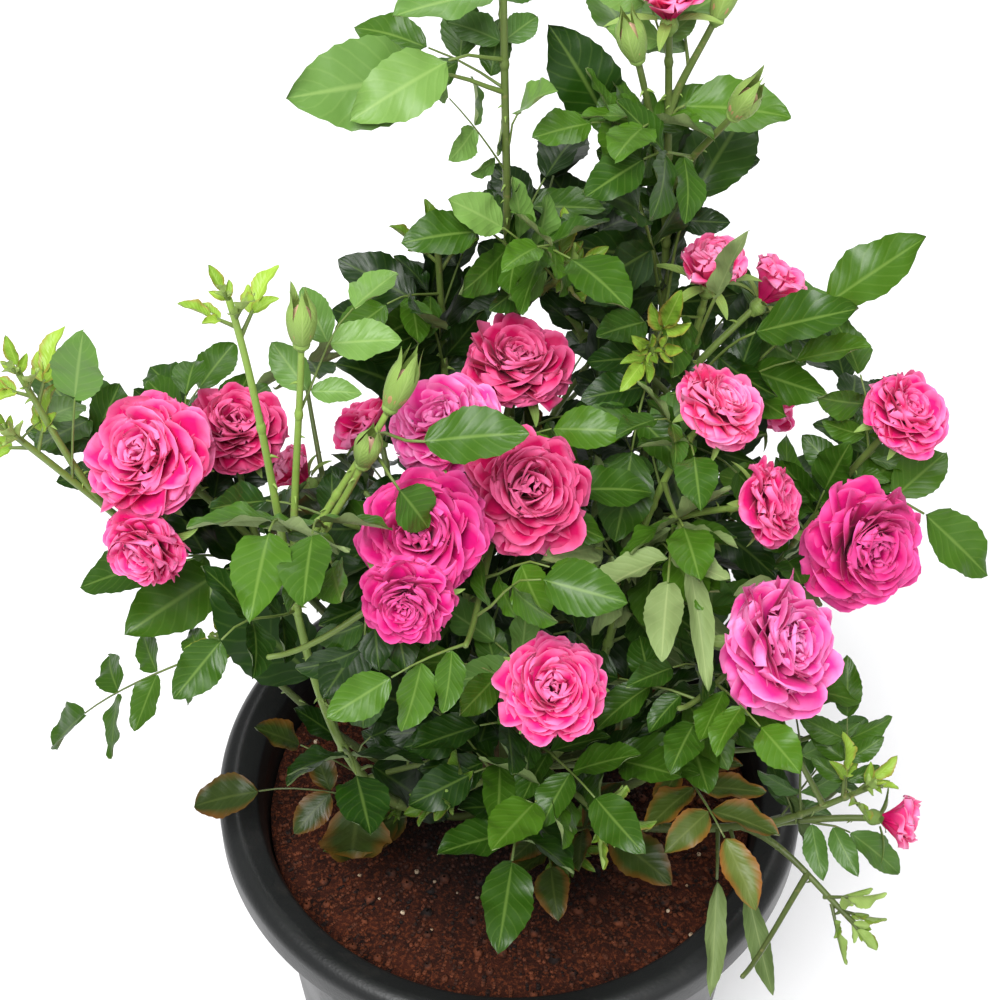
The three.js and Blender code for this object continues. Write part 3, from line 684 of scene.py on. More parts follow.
def fine_leaflets(random, rachis, count, size, roll):
    """The real leaflets of a leaf, along the rachis that the solids give it."""
    made = []
    seats = leaflet_seats(rachis, count, roll, FINE_PAIR_STEP, FINE_PAIR_RANGE, 0.62)
    for place, axes, hand, share_of_end in seats:
        spread = hand * (PAIR_SPREAD + between(random, -0.2, 0.12))
        out = leaflet_way(axes, spread, between(random, -0.25, 0.15))
        made.append({
            "base": place + out * 0.6,
            "out": out,
            "up": turned(square_to(axes[2], out), out, between(random, -0.35, 0.35)),
            "length": FINE_LEAFLET * size * between(random, 0.86, 1.12) * share_of_end,
            "width": FINE_WIDTH * between(random, 0.9, 1.08),
            "fold": between(random, 0.12, 0.42),
            "curl": between(random, 0.02, 0.3),
            "phase": random(),
            "tone": random(),
        })
    return made


def fine_balls(leaflet):
    return leaflet_balls(leaflet, FINE_WIDTH, FINE_ROOM)


def fine_room(room, rachis, leaflets, owner):
    points, radius = stem_balls(rachis, FINE_STALK_ROOM)
    tips = np.array([item["base"] + item["out"] * item["length"] for item in leaflets])
    skirt = SKIRT_START + SKIRT_RISE * np.hypot(tips[:, 0], tips[:, 1])
    if (tips[:, 2] < skirt).any() or (tips < cad_low).any() or (tips > cad_high).any():
        return []
    if not room.is_free((points[STALK_IN_STEM:], radius), owner):
        return []
    free = [item for item in leaflets if room.is_free(fine_balls(item), owner)]
    return free if free and free[-1] is leaflets[-1] else []


def keep_leaf(plant, room, owner, rachis, leaflets, kind, size):
    tone = leaflets[-1]["tone"]
    for item in leaflets:
        item["kind"] = kind
        item["tone"] = 0.7 * tone + 0.3 * item["tone"]
        room.take(fine_balls(item), owner)
    plant["leaflets"] += leaflets
    plant["rachises"].append((rachis, 0.75 * size, 0.4 * size))


def grow_over_blooms(plant, room):
    """Single leaves that hang over the flowers, on long stalks from a stem of their mass."""
    for name, which, share, foot, tip, width in LEAVES_OVER_BLOOMS:
        owner = [mass["name"] for mass in MASSES].index(name)
        stem = MASSES[owner]["stems"][which][1]
        foot, tip = vec(foot), vec(tip)
        out = unit(tip - foot)
        rachis = Stem(stem.at(share), stem.way(share), foot, out)
        leaflet = {
            "base": foot,
            "out": out,
            "up": square_to(toward_light(foot), out),
            "length": np.linalg.norm(tip - foot),
            "width": width,
            "fold": 0.2,
            "curl": 0.12,
            "phase": 0.3,
            "tone": 0.35,
        }
        keep_leaf(plant, room, owner, rachis, [leaflet], "grown", 1)


def leaf_kind(mass, place, random, young_share):
    """How old a leaf is, from where it grows."""
    if mass["age"] == "old":
        return "old" if random() < SURE_KIND else "grown"
    if mass["age"] == "young" or place[2] > YOUNG_FROM.get(mass["name"], 1000):
        return "young" if random() < young_share else "grown"
    if place[2] < OLD_BELOW and random() < OLD_SHARE.get(mass["name"], USUAL_OLD_SHARE):
        return "old"
    return "young" if random() < STRAY_YOUNG else "grown"


def try_leaf(plant, room, mass, owner, seed, stem, share, turn, size):
    """Grows one more leaf on a stem, turned until most of its leaflets have room."""
    best = None
    for attempt in range(TRIES):
        random = seeded(*seed, attempt)
        start, tip = leaf_reach(random, stem, share, turn + attempt * TRY_TURN, EXTRA_LENGTH * size)
        way = unit(tip - start)
        arrive = unit(way - UP * between(random, 0.05, 0.5))
        end = tip - arrive * FINE_LEAFLET * size
        rachis = Stem(start, unit(way + UP * 0.3), end, arrive)
        leaflets = fine_leaflets(random, rachis, EXTRA_LEAFLETS, size, between(random, -0.4, 0.4))
        free = fine_room(room, rachis, leaflets, owner)
        if len(free) > (len(best[1]) if best else 1):
            best = rachis, free
        if best and len(best[1]) >= EXTRA_LEAFLETS - 1:
            break
    if best:
        young_share = YOUNG_SHARE.get(mass["name"], USUAL_YOUNG_SHARE)
        kind = leaf_kind(mass, best[0].at(1), seeded(*seed, SEEDS["kind"]), young_share)
        keep_leaf(plant, room, owner, *best, kind, size)


def take_stems(room):
    """Takes the room of the stems and of what the shoots end in."""
    for owner, mass in enumerate(MASSES):
        if mass["cane_stem"]:
            room.take(stem_balls(mass["cane_stem"], CANE_TIP), owner)
        for shoot, stem in mass["stems"]:
            room.take(stem_balls(stem, FINE_STEM_ROOM), owner)
            for balls in end_balls(shoot, stem.way(1)):
                room.take(balls, SHARED)


def grow_whole_leaves(plant, room, mass, owner):
    """The leaves of the solids, with their real leaflets."""
    narrow = NARROW.get(mass["name"], 1)
    for i, grown in enumerate(mass["leaves"]):
        random = seeded(owner, SEEDS["whole_leaf"], i)
        asked = len(grown["leaflets"])
        count = asked if asked in (1, 7) else 7 if random() < SEVEN_LEAFLETS else 5
        leaflets = fine_leaflets(random, grown["rachis"], count, grown["size"], grown["roll"])
        for item in leaflets:
            item["width"] *= narrow
            item["fold"] += 0.9 * (1 - narrow)
        *pairs, end = leaflets
        hanging = asked == 1 and mass["name"] in HANGING
        if hanging:
            end["width"] *= HANGING_WIDTH
            end["fold"] = HANGING_FOLD
        free = [item for item in pairs if room.is_free(fine_balls(item), owner)]
        kind = leaf_kind(mass, end["base"], random, SURE_KIND)
        if hanging or i in TURNED_OVER.get(mass["name"], ()):
            kind = "turned"
        keep_leaf(plant, room, owner, grown["rachis"], [*free, end], kind, grown["size"])


def grow_twigs(plant, room, mass, owner):
    """Short side twigs from each longer stem, each with small leaves."""
    for i, (_, stem) in enumerate(mass["stems"]):
        for k in range(round(mass["fill"] * stem.length / TWIG_EVERY)):
            for attempt in range(TWIG_TRIES):
                random = seeded(owner, SEEDS["twig"] + i, k, attempt)
                share = (k + 0.5 + between(random, -0.2, 0.2)) * TWIG_EVERY / stem.length
                turn = i + k * TWIG_TURN + attempt * TWIG_TRY_TURN
                start, tip = leaf_reach(random, stem, share, turn, TWIG_LENGTH * between(random, 0.8, 1.2))
                twig = Stem(start, unit(tip - start), tip, unit(unit(tip - start) + 0.6 * UP))
                points, radius = stem_balls(twig, FINE_STEM_ROOM)
                if room.is_free((points[STALK_IN_STEM:], radius), owner):
                    break
            else:
                continue
            room.take((points[1:], radius), owner)
            plant["twigs"].append(twig)
            for n in range(TWIG_LEAVES):
                turn = turn + LEAF_TURN
                size = TWIG_LEAF_SIZE * mass["vigour"]
                seed = (owner, SEEDS["twig_leaf"] + i, k, n)
                try_leaf(plant, room, mass, owner, seed, twig, 0.35 + 0.3 * n, turn, size)


def grow_more_leaves(plant, room, mass, owner):
    """Further leaves along each stem, where there is room."""
    stems = [(stem, SIDE_LEAF_FROM) for _, stem in mass["stems"]]
    if mass["cane_stem"]:
        stems.append((mass["cane_stem"], CANE_LEAF_FROM))
    for i, (stem, low) in enumerate(stems):
        count = round(mass["fill"] * stem.length * (LEAF_UNTIL - low) / EXTRA_EVERY)
        for k in range(count):
            share = low + (LEAF_UNTIL - low) * (k + 0.4) / count
            size = EXTRA_SIZE * mass["vigour"] * (1.08 - 0.3 * share)
            turn = i * EXTRA_STEM_TURN + (k + 0.5) * LEAF_TURN
            seed = (owner, SEEDS["more_leaves"] + i, k)
            try_leaf(plant, room, mass, owner, seed, stem, share, turn, size)


def grow_fine():
    """Grows what is seen: twigs, whole leaves and more of them."""
    room = Room()
    room.take((CROWN_CENTRE[None], CROWN_RADIUS), SHARED)
    plant = {"leaflets": [], "rachises": [], "twigs": []}
    take_stems(room)
    for owner, mass in enumerate(MASSES):
        grow_whole_leaves(plant, room, mass, owner)
    grow_over_blooms(plant, room)
    for owner, mass in enumerate(MASSES):
        clear_views(mass, owner, room)
    for place, radius in OPENINGS:
        room.take(view_balls(vec(place), radius, *OPENING_SPAN), SHARED)
    for step in (grow_twigs, grow_more_leaves):
        for owner, mass in enumerate(MASSES):
            step(plant, room, mass, owner)
    return plant


# ---- meshes ----


def make_piece(name, parts, materials, replaced=()):
    """One mesh from arrays of vertices in mm, quads, uv, tone and material number, riding on the plant."""
    starts = np.cumsum([0] + [len(part["verts"]) for part in parts[:-1]])
    verts = np.concatenate([part["verts"] for part in parts]) * MM
    quads = np.concatenate([part["quads"] + start for part, start in zip(parts, starts)]).astype(np.int32)
    mesh = bpy.data.meshes.new(name)
    mesh.vertices.add(len(verts))
    mesh.vertices.foreach_set("co", verts.astype(np.float32).ravel())
    mesh.loops.add(quads.size)
    mesh.loops.foreach_set("vertex_index", quads.ravel())
    mesh.polygons.add(len(quads))
    mesh.polygons.foreach_set("loop_start", np.arange(0, quads.size, 4, dtype=np.int32))
    if "which" in parts[0]:
        which = np.concatenate([part["which"] for part in parts]).astype(np.int32)
        mesh.polygons.foreach_set("material_index", which)
    mesh.polygons.foreach_set("use_smooth", np.ones(len(quads), bool))
    if "uv" in parts[0]:
        uv = np.concatenate([part["uv"] for part in parts]).astype(np.float32)
        mesh.uv_layers.new(name="blade").data.foreach_set("uv", uv[quads.ravel()].ravel())
    if "tone" in parts[0]:
        tone = np.concatenate([part["tone"] for part in parts]).astype(np.float32)
        mesh.attributes.new("tone", "FLOAT", "POINT").data.foreach_set("value", tone)
    mesh.update(calc_edges=True)
    mesh.validate()
    for material in materials:
        mesh.materials.append(material)
    piece = bpy.data.objects.new(name, mesh)
    bpy.context.scene.collection.objects.link(piece)
    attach(piece, "root")
    if replaced:
        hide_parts(*replaced)
    return piece


def grid_quads(rows, columns, closed=False):
    """Quads over a grid of vertices, joined round into a tube where closed."""
    i, j = np.meshgrid(np.arange(rows - 1), np.arange(columns if closed else columns - 1), indexing="ij")
    after = (j + 1) % columns
    a, b = i * columns + j, i * columns + after
    return np.stack([a, b, b + columns, a + columns], -1).reshape(-1, 4)


def tube(centres, radii, sides, tone=0.0):
    """A tube along a line of places, closed to a point at its end."""
    ways = np.gradient(centres, axis=0)
    ways /= np.linalg.norm(ways, axis=1, keepdims=True)
    across = square_to(np.array([0.3, 0.2, 0.1]) if abs(ways[0][2]) > 0.9 else UP, ways[0])
    rings = []
    angles = np.arange(sides) * 2 * np.pi / sides
    for centre, radius, way in zip(centres, radii, ways):
        across = square_to(across, way)
        other = np.cross(way, across)
        rings.append(centre + radius * (np.cos(angles)[:, None] * across + np.sin(angles)[:, None] * other))
    verts = np.concatenate(rings)
    along = np.repeat(np.linspace(0, 1, len(centres)), sides)
    around = np.tile(angles / (2 * np.pi), len(centres))
    return {
        "verts": verts,
        "quads": grid_quads(len(centres), sides, closed=True),
        "uv": np.stack([around, along], -1),
        "tone": np.full(len(verts), tone),
    }


def stem_tube(stem, foot, tip, sides, tone=0.0, step=4.0, sunk=0.0, short=0.0):
    """A tapering stem, closed at its end, with its foot sunk back into what it grows from."""
    count = max(3, int(stem.length / step))
    shares = np.linspace(0, 1 - short / stem.length, count + 1)
    centres = stem.at(shares)
    radii = foot + (tip - foot) * shares**STEM_TAPER
    if sunk:
        centres = np.concatenate([[centres[0] - stem.way(0) * sunk], centres])
        radii = np.concatenate([[foot], radii])
    end = centres[-1] + stem.way(shares[-1]) * tip * 0.6
    return tube(np.concatenate([centres, [end]]), np.concatenate([radii, [0.05 * tip]]), sides, tone)


def sheet(verts, u, v, tone):
    """One open sheet of quads from a grid of vertices, with how far across and along each of them is."""
    rows, columns = verts.shape[:2]
    return {
        "verts": verts.reshape(-1, 3),
        "quads": grid_quads(rows, columns),
        "uv": np.stack(np.broadcast_arrays(u, v), -1).reshape(-1, 2),
        "tone": np.full(rows * columns, tone),
    }


def many(verts, quads, uv, tone):
    """Many blades that share their quads and uv, from the vertices and the tone of each."""
    count, per = verts.shape[:2]
    return {
        "verts": verts.reshape(-1, 3),
        "quads": (quads[None] + (np.arange(count) * per)[:, None, None]).reshape(-1, 4),
        "uv": np.tile(uv, (count, 1)),
        "tone": np.repeat(tone.ravel(), per),
    }


def columns_of(items, keys):
    """Each of the named values of all items, as an array with room for rows and columns of vertices."""
    return (np.array([item[key] for item in items])[:, None, None] for key in keys)


BLADE_ROWS = 19
BLADE_COLUMNS = 5
BLADE_THICKNESS = 0.35
TOOTH = 0.025
FLAT_FOOT = 0.25  # of a blade, beyond which it curls down


def blade_quads():
    """The two faces of a leaflet, which share the vertices of its edge."""
    rows, columns = BLADE_ROWS, BLADE_COLUMNS
    top = grid_quads(rows, columns)
    lower = np.arange(rows * columns).reshape(rows, columns)
    inner = np.arange((rows - 2) * (columns - 2)).reshape(rows - 2, columns - 2)
    lower[1:-1, 1:-1] = rows * columns + inner
    bottom = lower.ravel()[top][:, ::-1]
    return top[:, ::-1], bottom


def leaflet_meshes(leaflets):
    """All leaflets of one kind: serrated, folded along the midrib, curled and a little wavy."""
    v = np.linspace(0, 1, BLADE_ROWS)[:, None]
    u = np.linspace(-1, 1, BLADE_COLUMNS)[None, :]
    half = np.clip(np.sin(np.pi * v**0.88), 0, 1) ** 0.7 * (1.02 - 0.08 * v)
    half[0], half[-1] = 0.03, 0.012
    teeth = np.where(np.arange(BLADE_ROWS) % 2, 1 + TOOTH, 1 - TOOTH)[:, None]
    edge = np.where(np.abs(u) > 0.9, teeth, 1)
    base, out, up = columns_of(leaflets, ("base", "out", "up"))
    side = np.cross(out, up)
    length, width, fold, curl, phase, tone = columns_of(
        leaflets, ("length", "width", "fold", "curl", "phase", "tone"))
    across = u * half * edge * width / 2 * length
    wave = 0.035 * np.sin(2 * np.pi * (1.7 * v + phase)) * u**2
    wave = wave + 0.02 * np.sin(2 * np.pi * (3.1 * v + 2 * phase)) * u
    droop = curl * (v - FLAT_FOOT) ** 2 * np.where(v > FLAT_FOOT, 1, 0.3)
    rise = fold * np.abs(across) + (wave - droop) * length
    along = v * length * (1 - 0.12 * curl * v)
    rise, along = np.broadcast_to(rise, across.shape), np.broadcast_to(along, across.shape)

    def placed(lift):
        flat = base + along[..., None] * out + across[..., None] * side
        return flat + (rise + lift)[..., None] * up

    count = len(leaflets)
    top = placed(0.0).reshape(count, -1, 3)
    under = placed(-BLADE_THICKNESS)[:, 1:-1, 1:-1].reshape(count, -1, 3)
    grid_uv = np.stack(np.broadcast_arrays((u + 1) / 2, v), -1)
    uv = np.concatenate([grid_uv.reshape(-1, 2), grid_uv[1:-1, 1:-1].reshape(-1, 2)])
    top_quads, bottom_quads = blade_quads()
    which = np.concatenate([np.zeros(len(top_quads)), np.ones(len(bottom_quads))])
    part = many(np.concatenate([top, under], axis=1), np.concatenate([top_quads, bottom_quads]), uv, tone)
    return {**part, "which": np.tile(which, count)}


# ---- blossom ----

PETAL_ROWS = 12
PETAL_COLUMNS = 13
PETAL_BROADEST = 0.72  # of its length
PETAL_FOOT = 0.24  # width at its foot, of its greatest
ROLLED_FROM = 0.75
NOTCH_DEPTH = 0.045
NOTCH_WIDTH = 0.35

# Whorls of petals from the outside in: how many, their length and half their width in radii, and the angle
# from the flower's axis, in degrees, at which they leave it and at which they end.
WHORLS = {
    "bloom": [
        (7, 0.9, 0.6, 66, 116),
        (7, 0.9, 0.6, 57, 102),
        (7, 0.88, 0.58, 48, 87),
        (6, 0.86, 0.56, 39, 72),
        (6, 0.83, 0.52, 30, 57),
        (6, 0.79, 0.46, 21, 42),
        (5, 0.73, 0.4, 12, 27),
        (4, 0.66, 0.33, 4, 12),
        (3, 0.6, 0.26, 0, 2),
    ],
    "cup": [
        (5, 1.45, 0.62, 30, 58),
        (6, 1.5, 0.58, 23, 38),
        (6, 1.48, 0.52, 16, 23),
        (6, 1.42, 0.45, 10, 12),
        (5, 1.34, 0.38, 5, 4),
        (4, 1.25, 0.3, 1, 0),
    ],
}
SEPALS = {  # the angles at which sepals leave and end, their length in sizes, and how far below the petals
    "bloom": (80, 150, 0.5, 0.04),
    "cup": (60, 120, 0.75, 0.05),
}
SEPAL_WIDTH = 0.16  # of their length
HIPS = {"bloom": (2.9, 6.5), "cup": (2.7, 6), "bud": (2.4, 4.5)}  # radius and height of the swelling
HIP_SHAPE = np.array([0.42, 0.55, 0.78, 0.95, 1, 0.96, 0.85, 0.75, 0.5])  # radii up it


BASE_DROP = {"bloom": 0.42, "cup": 0.85, "bud": 0.9}  # from the middle of a flower to its base, in radii
ASKEW = np.array([0.2, 0.3, 1.0])  # where turns about a flower's axis are counted from
PARTS_OF_FIVE = 5  # sepals of a flower, and leaves of a tuft


def whorl_petals(shoot, way, seed):
    """The petals of one flower, as what shapes each of them."""
    radius = shoot["size"] / 2
    whorls = WHORLS[shoot["end"]]
    base = vec(shoot["at"]) - way * BASE_DROP[shoot["end"]] * radius
    across = square_to(ASKEW, way)
    petals = []
    for ring, (count, length, width, leave, end) in enumerate(whorls):
        depth = ring / (len(whorls) - 1)
        for k in range(count):
            random = seeded(seed, ring, k)
            turn = 2 * math.pi * (k + 0.5 * (ring % 2) + 0.37 * ring) / count + between(random, -0.2, 0.2)
            radial = turned(across, way, turn)
            petals.append({
                "base": base + radial * 0.06 * radius,
                "axis": way,
                "radial": radial,
                "length": radius * length * between(random, 0.9, 1.08),
                "width": radius * width * between(random, 0.85, 1.12),
                "leave": math.radians(leave + between(random, -7, 7)),
                "end": math.radians(end + between(random, -12, 12)),
                "roll": between(random, 0.1, 0.9) * (1 - 0.5 * depth),
                "cupped": 0.3 + 0.6 * depth + between(random, -0.1, 0.1),
                "ruffle": between(random, 0.05, 0.13) * (1 - 0.3 * depth),
                "twist": between(random, 0.1, 0.24),
                "phase": random() * 2 * math.pi,
                "lean": between(random, -0.16, 0.16),
                "tone": np.clip(depth + between(random, -0.15, 0.15), 0, 1),
            })
    return petals


def petal_mesh(petals):
    """Petals that leave the flower's middle, bend outwards and end in a broad, notched and rolled rim."""
    v = np.sin(np.linspace(0, np.pi / 2, PETAL_ROWS))[:, None]
    u = np.linspace(-1, 1, PETAL_COLUMNS)[None, :]
    keys = ("length", "width", "leave", "end", "roll", "cupped", "ruffle", "twist", "phase", "lean", "tone")
    length, width, leave, end, roll, cupped, ruffle, twist, phase, lean, tone = columns_of(petals, keys)
    base, axis, radial = columns_of(petals, ("base", "axis", "radial"))
    side = np.cross(axis, radial)
    rising = PETAL_FOOT + (1 - PETAL_FOOT) * np.sin(np.pi / 2 * np.clip(v / PETAL_BROADEST, 0, 1)) ** 1.2
    past = np.clip(v - PETAL_BROADEST, 0, 1) / (1.002 - PETAL_BROADEST)
    half = rising * np.sqrt(1 - past**2.6)
    angle = leave + (end - leave) * v**1.3 + roll * np.clip((v - ROLLED_FROM) / (1 - ROLLED_FROM), 0, 1) ** 2
    steps = np.diff(v, axis=0, prepend=0)
    out = np.cumsum(np.sin(angle) * steps, axis=1)
    high = np.cumsum(np.cos(angle) * steps, axis=1)
    across = u * half * width
    notch = -NOTCH_DEPTH * np.exp(-((u / NOTCH_WIDTH) ** 2)) * v**3
    wavy = ruffle * (np.sin(1.6 * np.pi * u + phase) + 0.5 * np.sin(3.3 * np.pi * u + 2 * phase)) * v**2.2
    bend = cupped * across**2 / width + twist * across * v
    outward = length * (out + notch * np.sin(angle) - wavy * np.cos(angle)) - bend * np.cos(angle)
    upward = length * (high + notch * np.cos(angle) + wavy * np.sin(angle)) + bend * np.sin(angle)
    across = across + lean * length * v**2
    verts = base + outward[..., None] * radial + upward[..., None] * axis + across[..., None] * side
    uv = np.stack(np.broadcast_arrays((u + 1) / 2, v), -1).reshape(-1, 2)
    return many(verts.reshape(len(petals), -1, 3), grid_quads(PETAL_ROWS, PETAL_COLUMNS), uv, tone)


def sepal_parts(shoot, way, seed):
    """Five narrow sepals with drawn-out tips."""
    leave, end, share, lower = SEPALS[shoot["end"]]
    length = share * shoot["size"]
    base = vec(shoot["at"]) - way * (BASE_DROP[shoot["end"]] + lower) * (shoot["size"] / 2)
    across = square_to(ASKEW, way)
    rows = 9
    v = np.linspace(0, 1, rows)
    parts = []
    for k in range(PARTS_OF_FIVE):
        random = seeded(seed, SEEDS["sepal"], k)
        radial = turned(across, way, 2 * math.pi * k / 5 + between(random, -0.2, 0.2))
        side = np.cross(way, radial)
        angle = math.radians(leave) + math.radians(end - leave + between(random, -25, 25)) * v
        reach = length * between(random, 0.85, 1.2)
        out = np.cumsum(np.sin(angle)) * reach / rows
        high = np.cumsum(np.cos(angle)) * reach / rows
        half = SEPAL_WIDTH * length * (np.clip(1 - v, 0, 1) ** 0.9 * (0.45 + 1.5 * v)) + 0.12
        centre = base + out[:, None] * radial + high[:, None] * way + radial * 1.2
        keel = (np.sin(angle)[:, None] * way - np.cos(angle)[:, None] * radial) * (half * 0.5)[:, None]
        verts = np.stack([centre - half[:, None] * side, centre - keel, centre + half[:, None] * side], 1)
        parts.append(sheet(verts, np.array([0, 0.5, 1]), v[:, None], 0.6))
    return parts


def hip_part(shoot, way):
    """The green swelling under a flower, from the stem to the petals."""
    radius, height = HIPS[shoot["end"]]
    base = vec(shoot["at"]) - way * BASE_DROP[shoot["end"]] * shoot["size"] / 2
    shares = np.linspace(0, 1, len(HIP_SHAPE))
    centres = base + way * (shares[:, None] - 1) * height + way * 0.8
    return tube(centres, radius * HIP_SHAPE, 12, 0.5)


def bud_part(shoot, way, seed):
    """A closed bud: furled petals that show only at the tip of the green sepals round them."""
    radius = shoot["size"] / 2
    base = vec(shoot["at"]) - way * BASE_DROP["bud"] * radius
    shares = np.linspace(0, 1, 12)
    centres = base + way * shares[:, None] * 2.5 * radius
    radii = 0.78 * radius * np.sin(np.pi * np.clip(0.18 + 0.8 * shares, 0, 1)) ** 0.8
    body = tube(centres, np.maximum(radii, 0.05), 14, 0.3)
    across = square_to(ASKEW, way)
    rows, columns = 14, 5
    v = np.linspace(0, 1, rows)[:, None]
    u = np.linspace(-1, 1, columns)[None, :]
    green = []
    for k in range(PARTS_OF_FIVE):
        random = seeded(seed, SEEDS["bud"], k)
        turn = 2 * math.pi * k / 5
        spread = 0.74 * (1 - v**2.6) * u + turn
        hug = np.interp(v * 0.95, shares, radii) + 0.3 + 0.2 * (1 - np.abs(u))
        flare = between(random, 0.2, 2.6) * radius * np.clip(v - 0.66, 0, 1)
        hug = hug * (1 - 0.75 * np.clip((v - 0.6) / 0.4, 0, 1)) + flare
        high = np.broadcast_to(v * radius * between(random, 3.2, 4.4), spread.shape)
        radial = np.cos(spread)[..., None] * across + np.sin(spread)[..., None] * np.cross(way, across)
        green.append(sheet(base + hug[..., None] * radial + high[..., None] * way, (u + 1) / 2, v, 0.7))
    return body, green


def sprout_leaflets(shoot, way, seed):
    """The stalks and leaflets of the tuft of small, folded leaves that a growing shoot ends in."""
    stalks, leaflets = [], []
    across = square_to(ASKEW, way)
    for k in range(PARTS_OF_FIVE):
        random = seeded(seed, SEEDS["tuft"], k)
        radial = turned(across, way, k * LEAF_TURN + between(random, -0.3, 0.3))
        open_by = 0.95 - 0.17 * k + between(random, -0.15, 0.15)
        out = unit(way * math.cos(open_by) + radial * math.sin(open_by))
        foot = vec(shoot["at"]) - way * (16 - 3.2 * k)
        tip = foot + out * (9 - 1.2 * k)
        up = square_to(way - 0.3 * radial, out)
        side = np.cross(out, up)
        size = SPROUT_LEAF * (1 - 0.13 * k) * between(random, 0.85, 1.15)
        stalks.append(Stem(foot, out, tip, out))
        for hand in (-1, 0, 1):
            spread = unit(out + side * 0.8 * hand)
            leaflets.append({
                "base": tip - out * (2.5 if hand else 0),
                "out": spread,
                "up": square_to(up, spread),
                "length": size * (0.7 if hand else 1),
                "width": 0.44,
                "fold": 0.75,
                "curl": between(random, -0.2, 0.35),
                "phase": random(),
                "tone": random(),
                "kind": "shoot",
            })
    return stalks, leaflets


# ---- materials ----


class Nodes:
    """A short way to write a material's nodes."""

    def __init__(self, name, roughness=0.5, specular=0.5):
        self.material = bpy.data.materials.new(name)
        self.material.use_nodes = True
        self.tree = self.material.node_tree
        self.shader = self.tree.nodes["Principled BSDF"]
        self.shader.inputs["Roughness"].default_value = roughness
        self.shader.inputs["Specular IOR Level"].default_value = specular

    def add(self, kind, inputs=None, **settings):
        node = self.tree.nodes.new(kind)
        for key, value in settings.items():
            setattr(node, key, value)
        for key, value in (inputs or {}).items():
            self.feed(node.inputs[key], value)
        return node

    def feed(self, socket, value):
        if isinstance(value, bpy.types.NodeSocket):
            self.tree.links.new(value, socket)
        elif isinstance(value, tuple) and len(value) == 3 and socket.type == "RGBA":
            socket.default_value = (*value, 1)
        else:
            socket.default_value = value

    def place(self):
        return self.add("ShaderNodeTexCoord").outputs["Object"]

    def upright(self):
        return self.add("ShaderNodeSeparateXYZ", {"Vector": self.place()}).outputs["Z"]

    def noise(self, scale, detail=3.0, roughness=0.55):
        inputs = {"Vector": self.place(), "Scale": scale, "Detail": detail, "Roughness": roughness}
        return self.add("ShaderNodeTexNoise", inputs).outputs["Fac"]

    def math(self, operation, a, b=0.0, clamp=False):
        return self.add("ShaderNodeMath", {0: a, 1: b}, operation=operation, use_clamp=clamp).outputs[0]

    def plus(self, a, b):
        return self.math("ADD", a, b)

    def less(self, a, b):
        return self.math("SUBTRACT", a, b)

    def times(self, a, b):
        return self.math("MULTIPLY", a, b)

    def greater(self, a, b):
        return self.math("MAXIMUM", a, b)

    def ramp(self, factor, low, high, to_low=0.0, to_high=1.0):
        inputs = {"Value": factor, "From Min": low, "From Max": high, "To Min": to_low, "To Max": to_high}
        return self.add("ShaderNodeMapRange", inputs, clamp=True).outputs["Result"]

    def mix(self, factor, a, b, blend="MIX"):
        node = self.add("ShaderNodeMix", data_type="RGBA", blend_type=blend, clamp_factor=True)
        self.feed(node.inputs[0], factor)
        self.feed(node.inputs[6], a)
        self.feed(node.inputs[7], b)
        return node.outputs[2]

    def dimmed(self, factor, color, by):
        """A colour that is partly multiplied by another."""
        return self.mix(factor, color, self.mix(1.0, color, by, "MULTIPLY"))

    def tone(self):
        return self.add("ShaderNodeAttribute", attribute_name="tone").outputs["Fac"]

    def blade(self):
        """How far along a blade a place is, and how far from its midrib, both from 0 to 1."""
        uv = self.add("ShaderNodeUVMap", uv_map="blade").outputs["UV"]
        parts = self.add("ShaderNodeSeparateXYZ", {"Vector": uv}).outputs
        away = self.math("ABSOLUTE", self.less(self.times(parts["X"], 2.0), 1.0))
        return parts["Y"], away

    def bump(self, height, distance, strength=1.0):
        node = self.add("ShaderNodeBump", {"Height": height, "Distance": distance, "Strength": strength})
        self.feed(self.shader.inputs["Normal"], node.outputs["Normal"])

    def set(self, **inputs):
        sockets = {"color": "Base Color", "roughness": "Roughness", "sheen": "Sheen Weight"}
        for key, value in inputs.items():
            self.feed(self.shader.inputs[sockets[key]], value)
        return self.material


SIDE_VEINS = 8  # on each side of the midrib
VEIN_SLANT = 0.28
VEIN_STRENGTH = 0.38
PAINTED_SHADE = (0.3, 0.35, 0.22)  # painted shade: what the colour of low and inner leaves is partly multiplied by
SOIL_SHADE = (0.22, 0.2, 0.2)  # and that of the soil near the crown, as painted shade under the plant
PETAL_GLOW = 0.22  # share of the light that comes through a petal


def side_veins(nodes, along, away):
    """How far a place is from the nearest vein between midrib and edge, from 0 on it to 0.5."""
    shifted = nodes.times(nodes.less(along, nodes.times(away, VEIN_SLANT)), SIDE_VEINS)
    part = nodes.math("FRACT", nodes.plus(shifted, 10.0))
    return nodes.math("ABSOLUTE", nodes.less(part, 0.5))


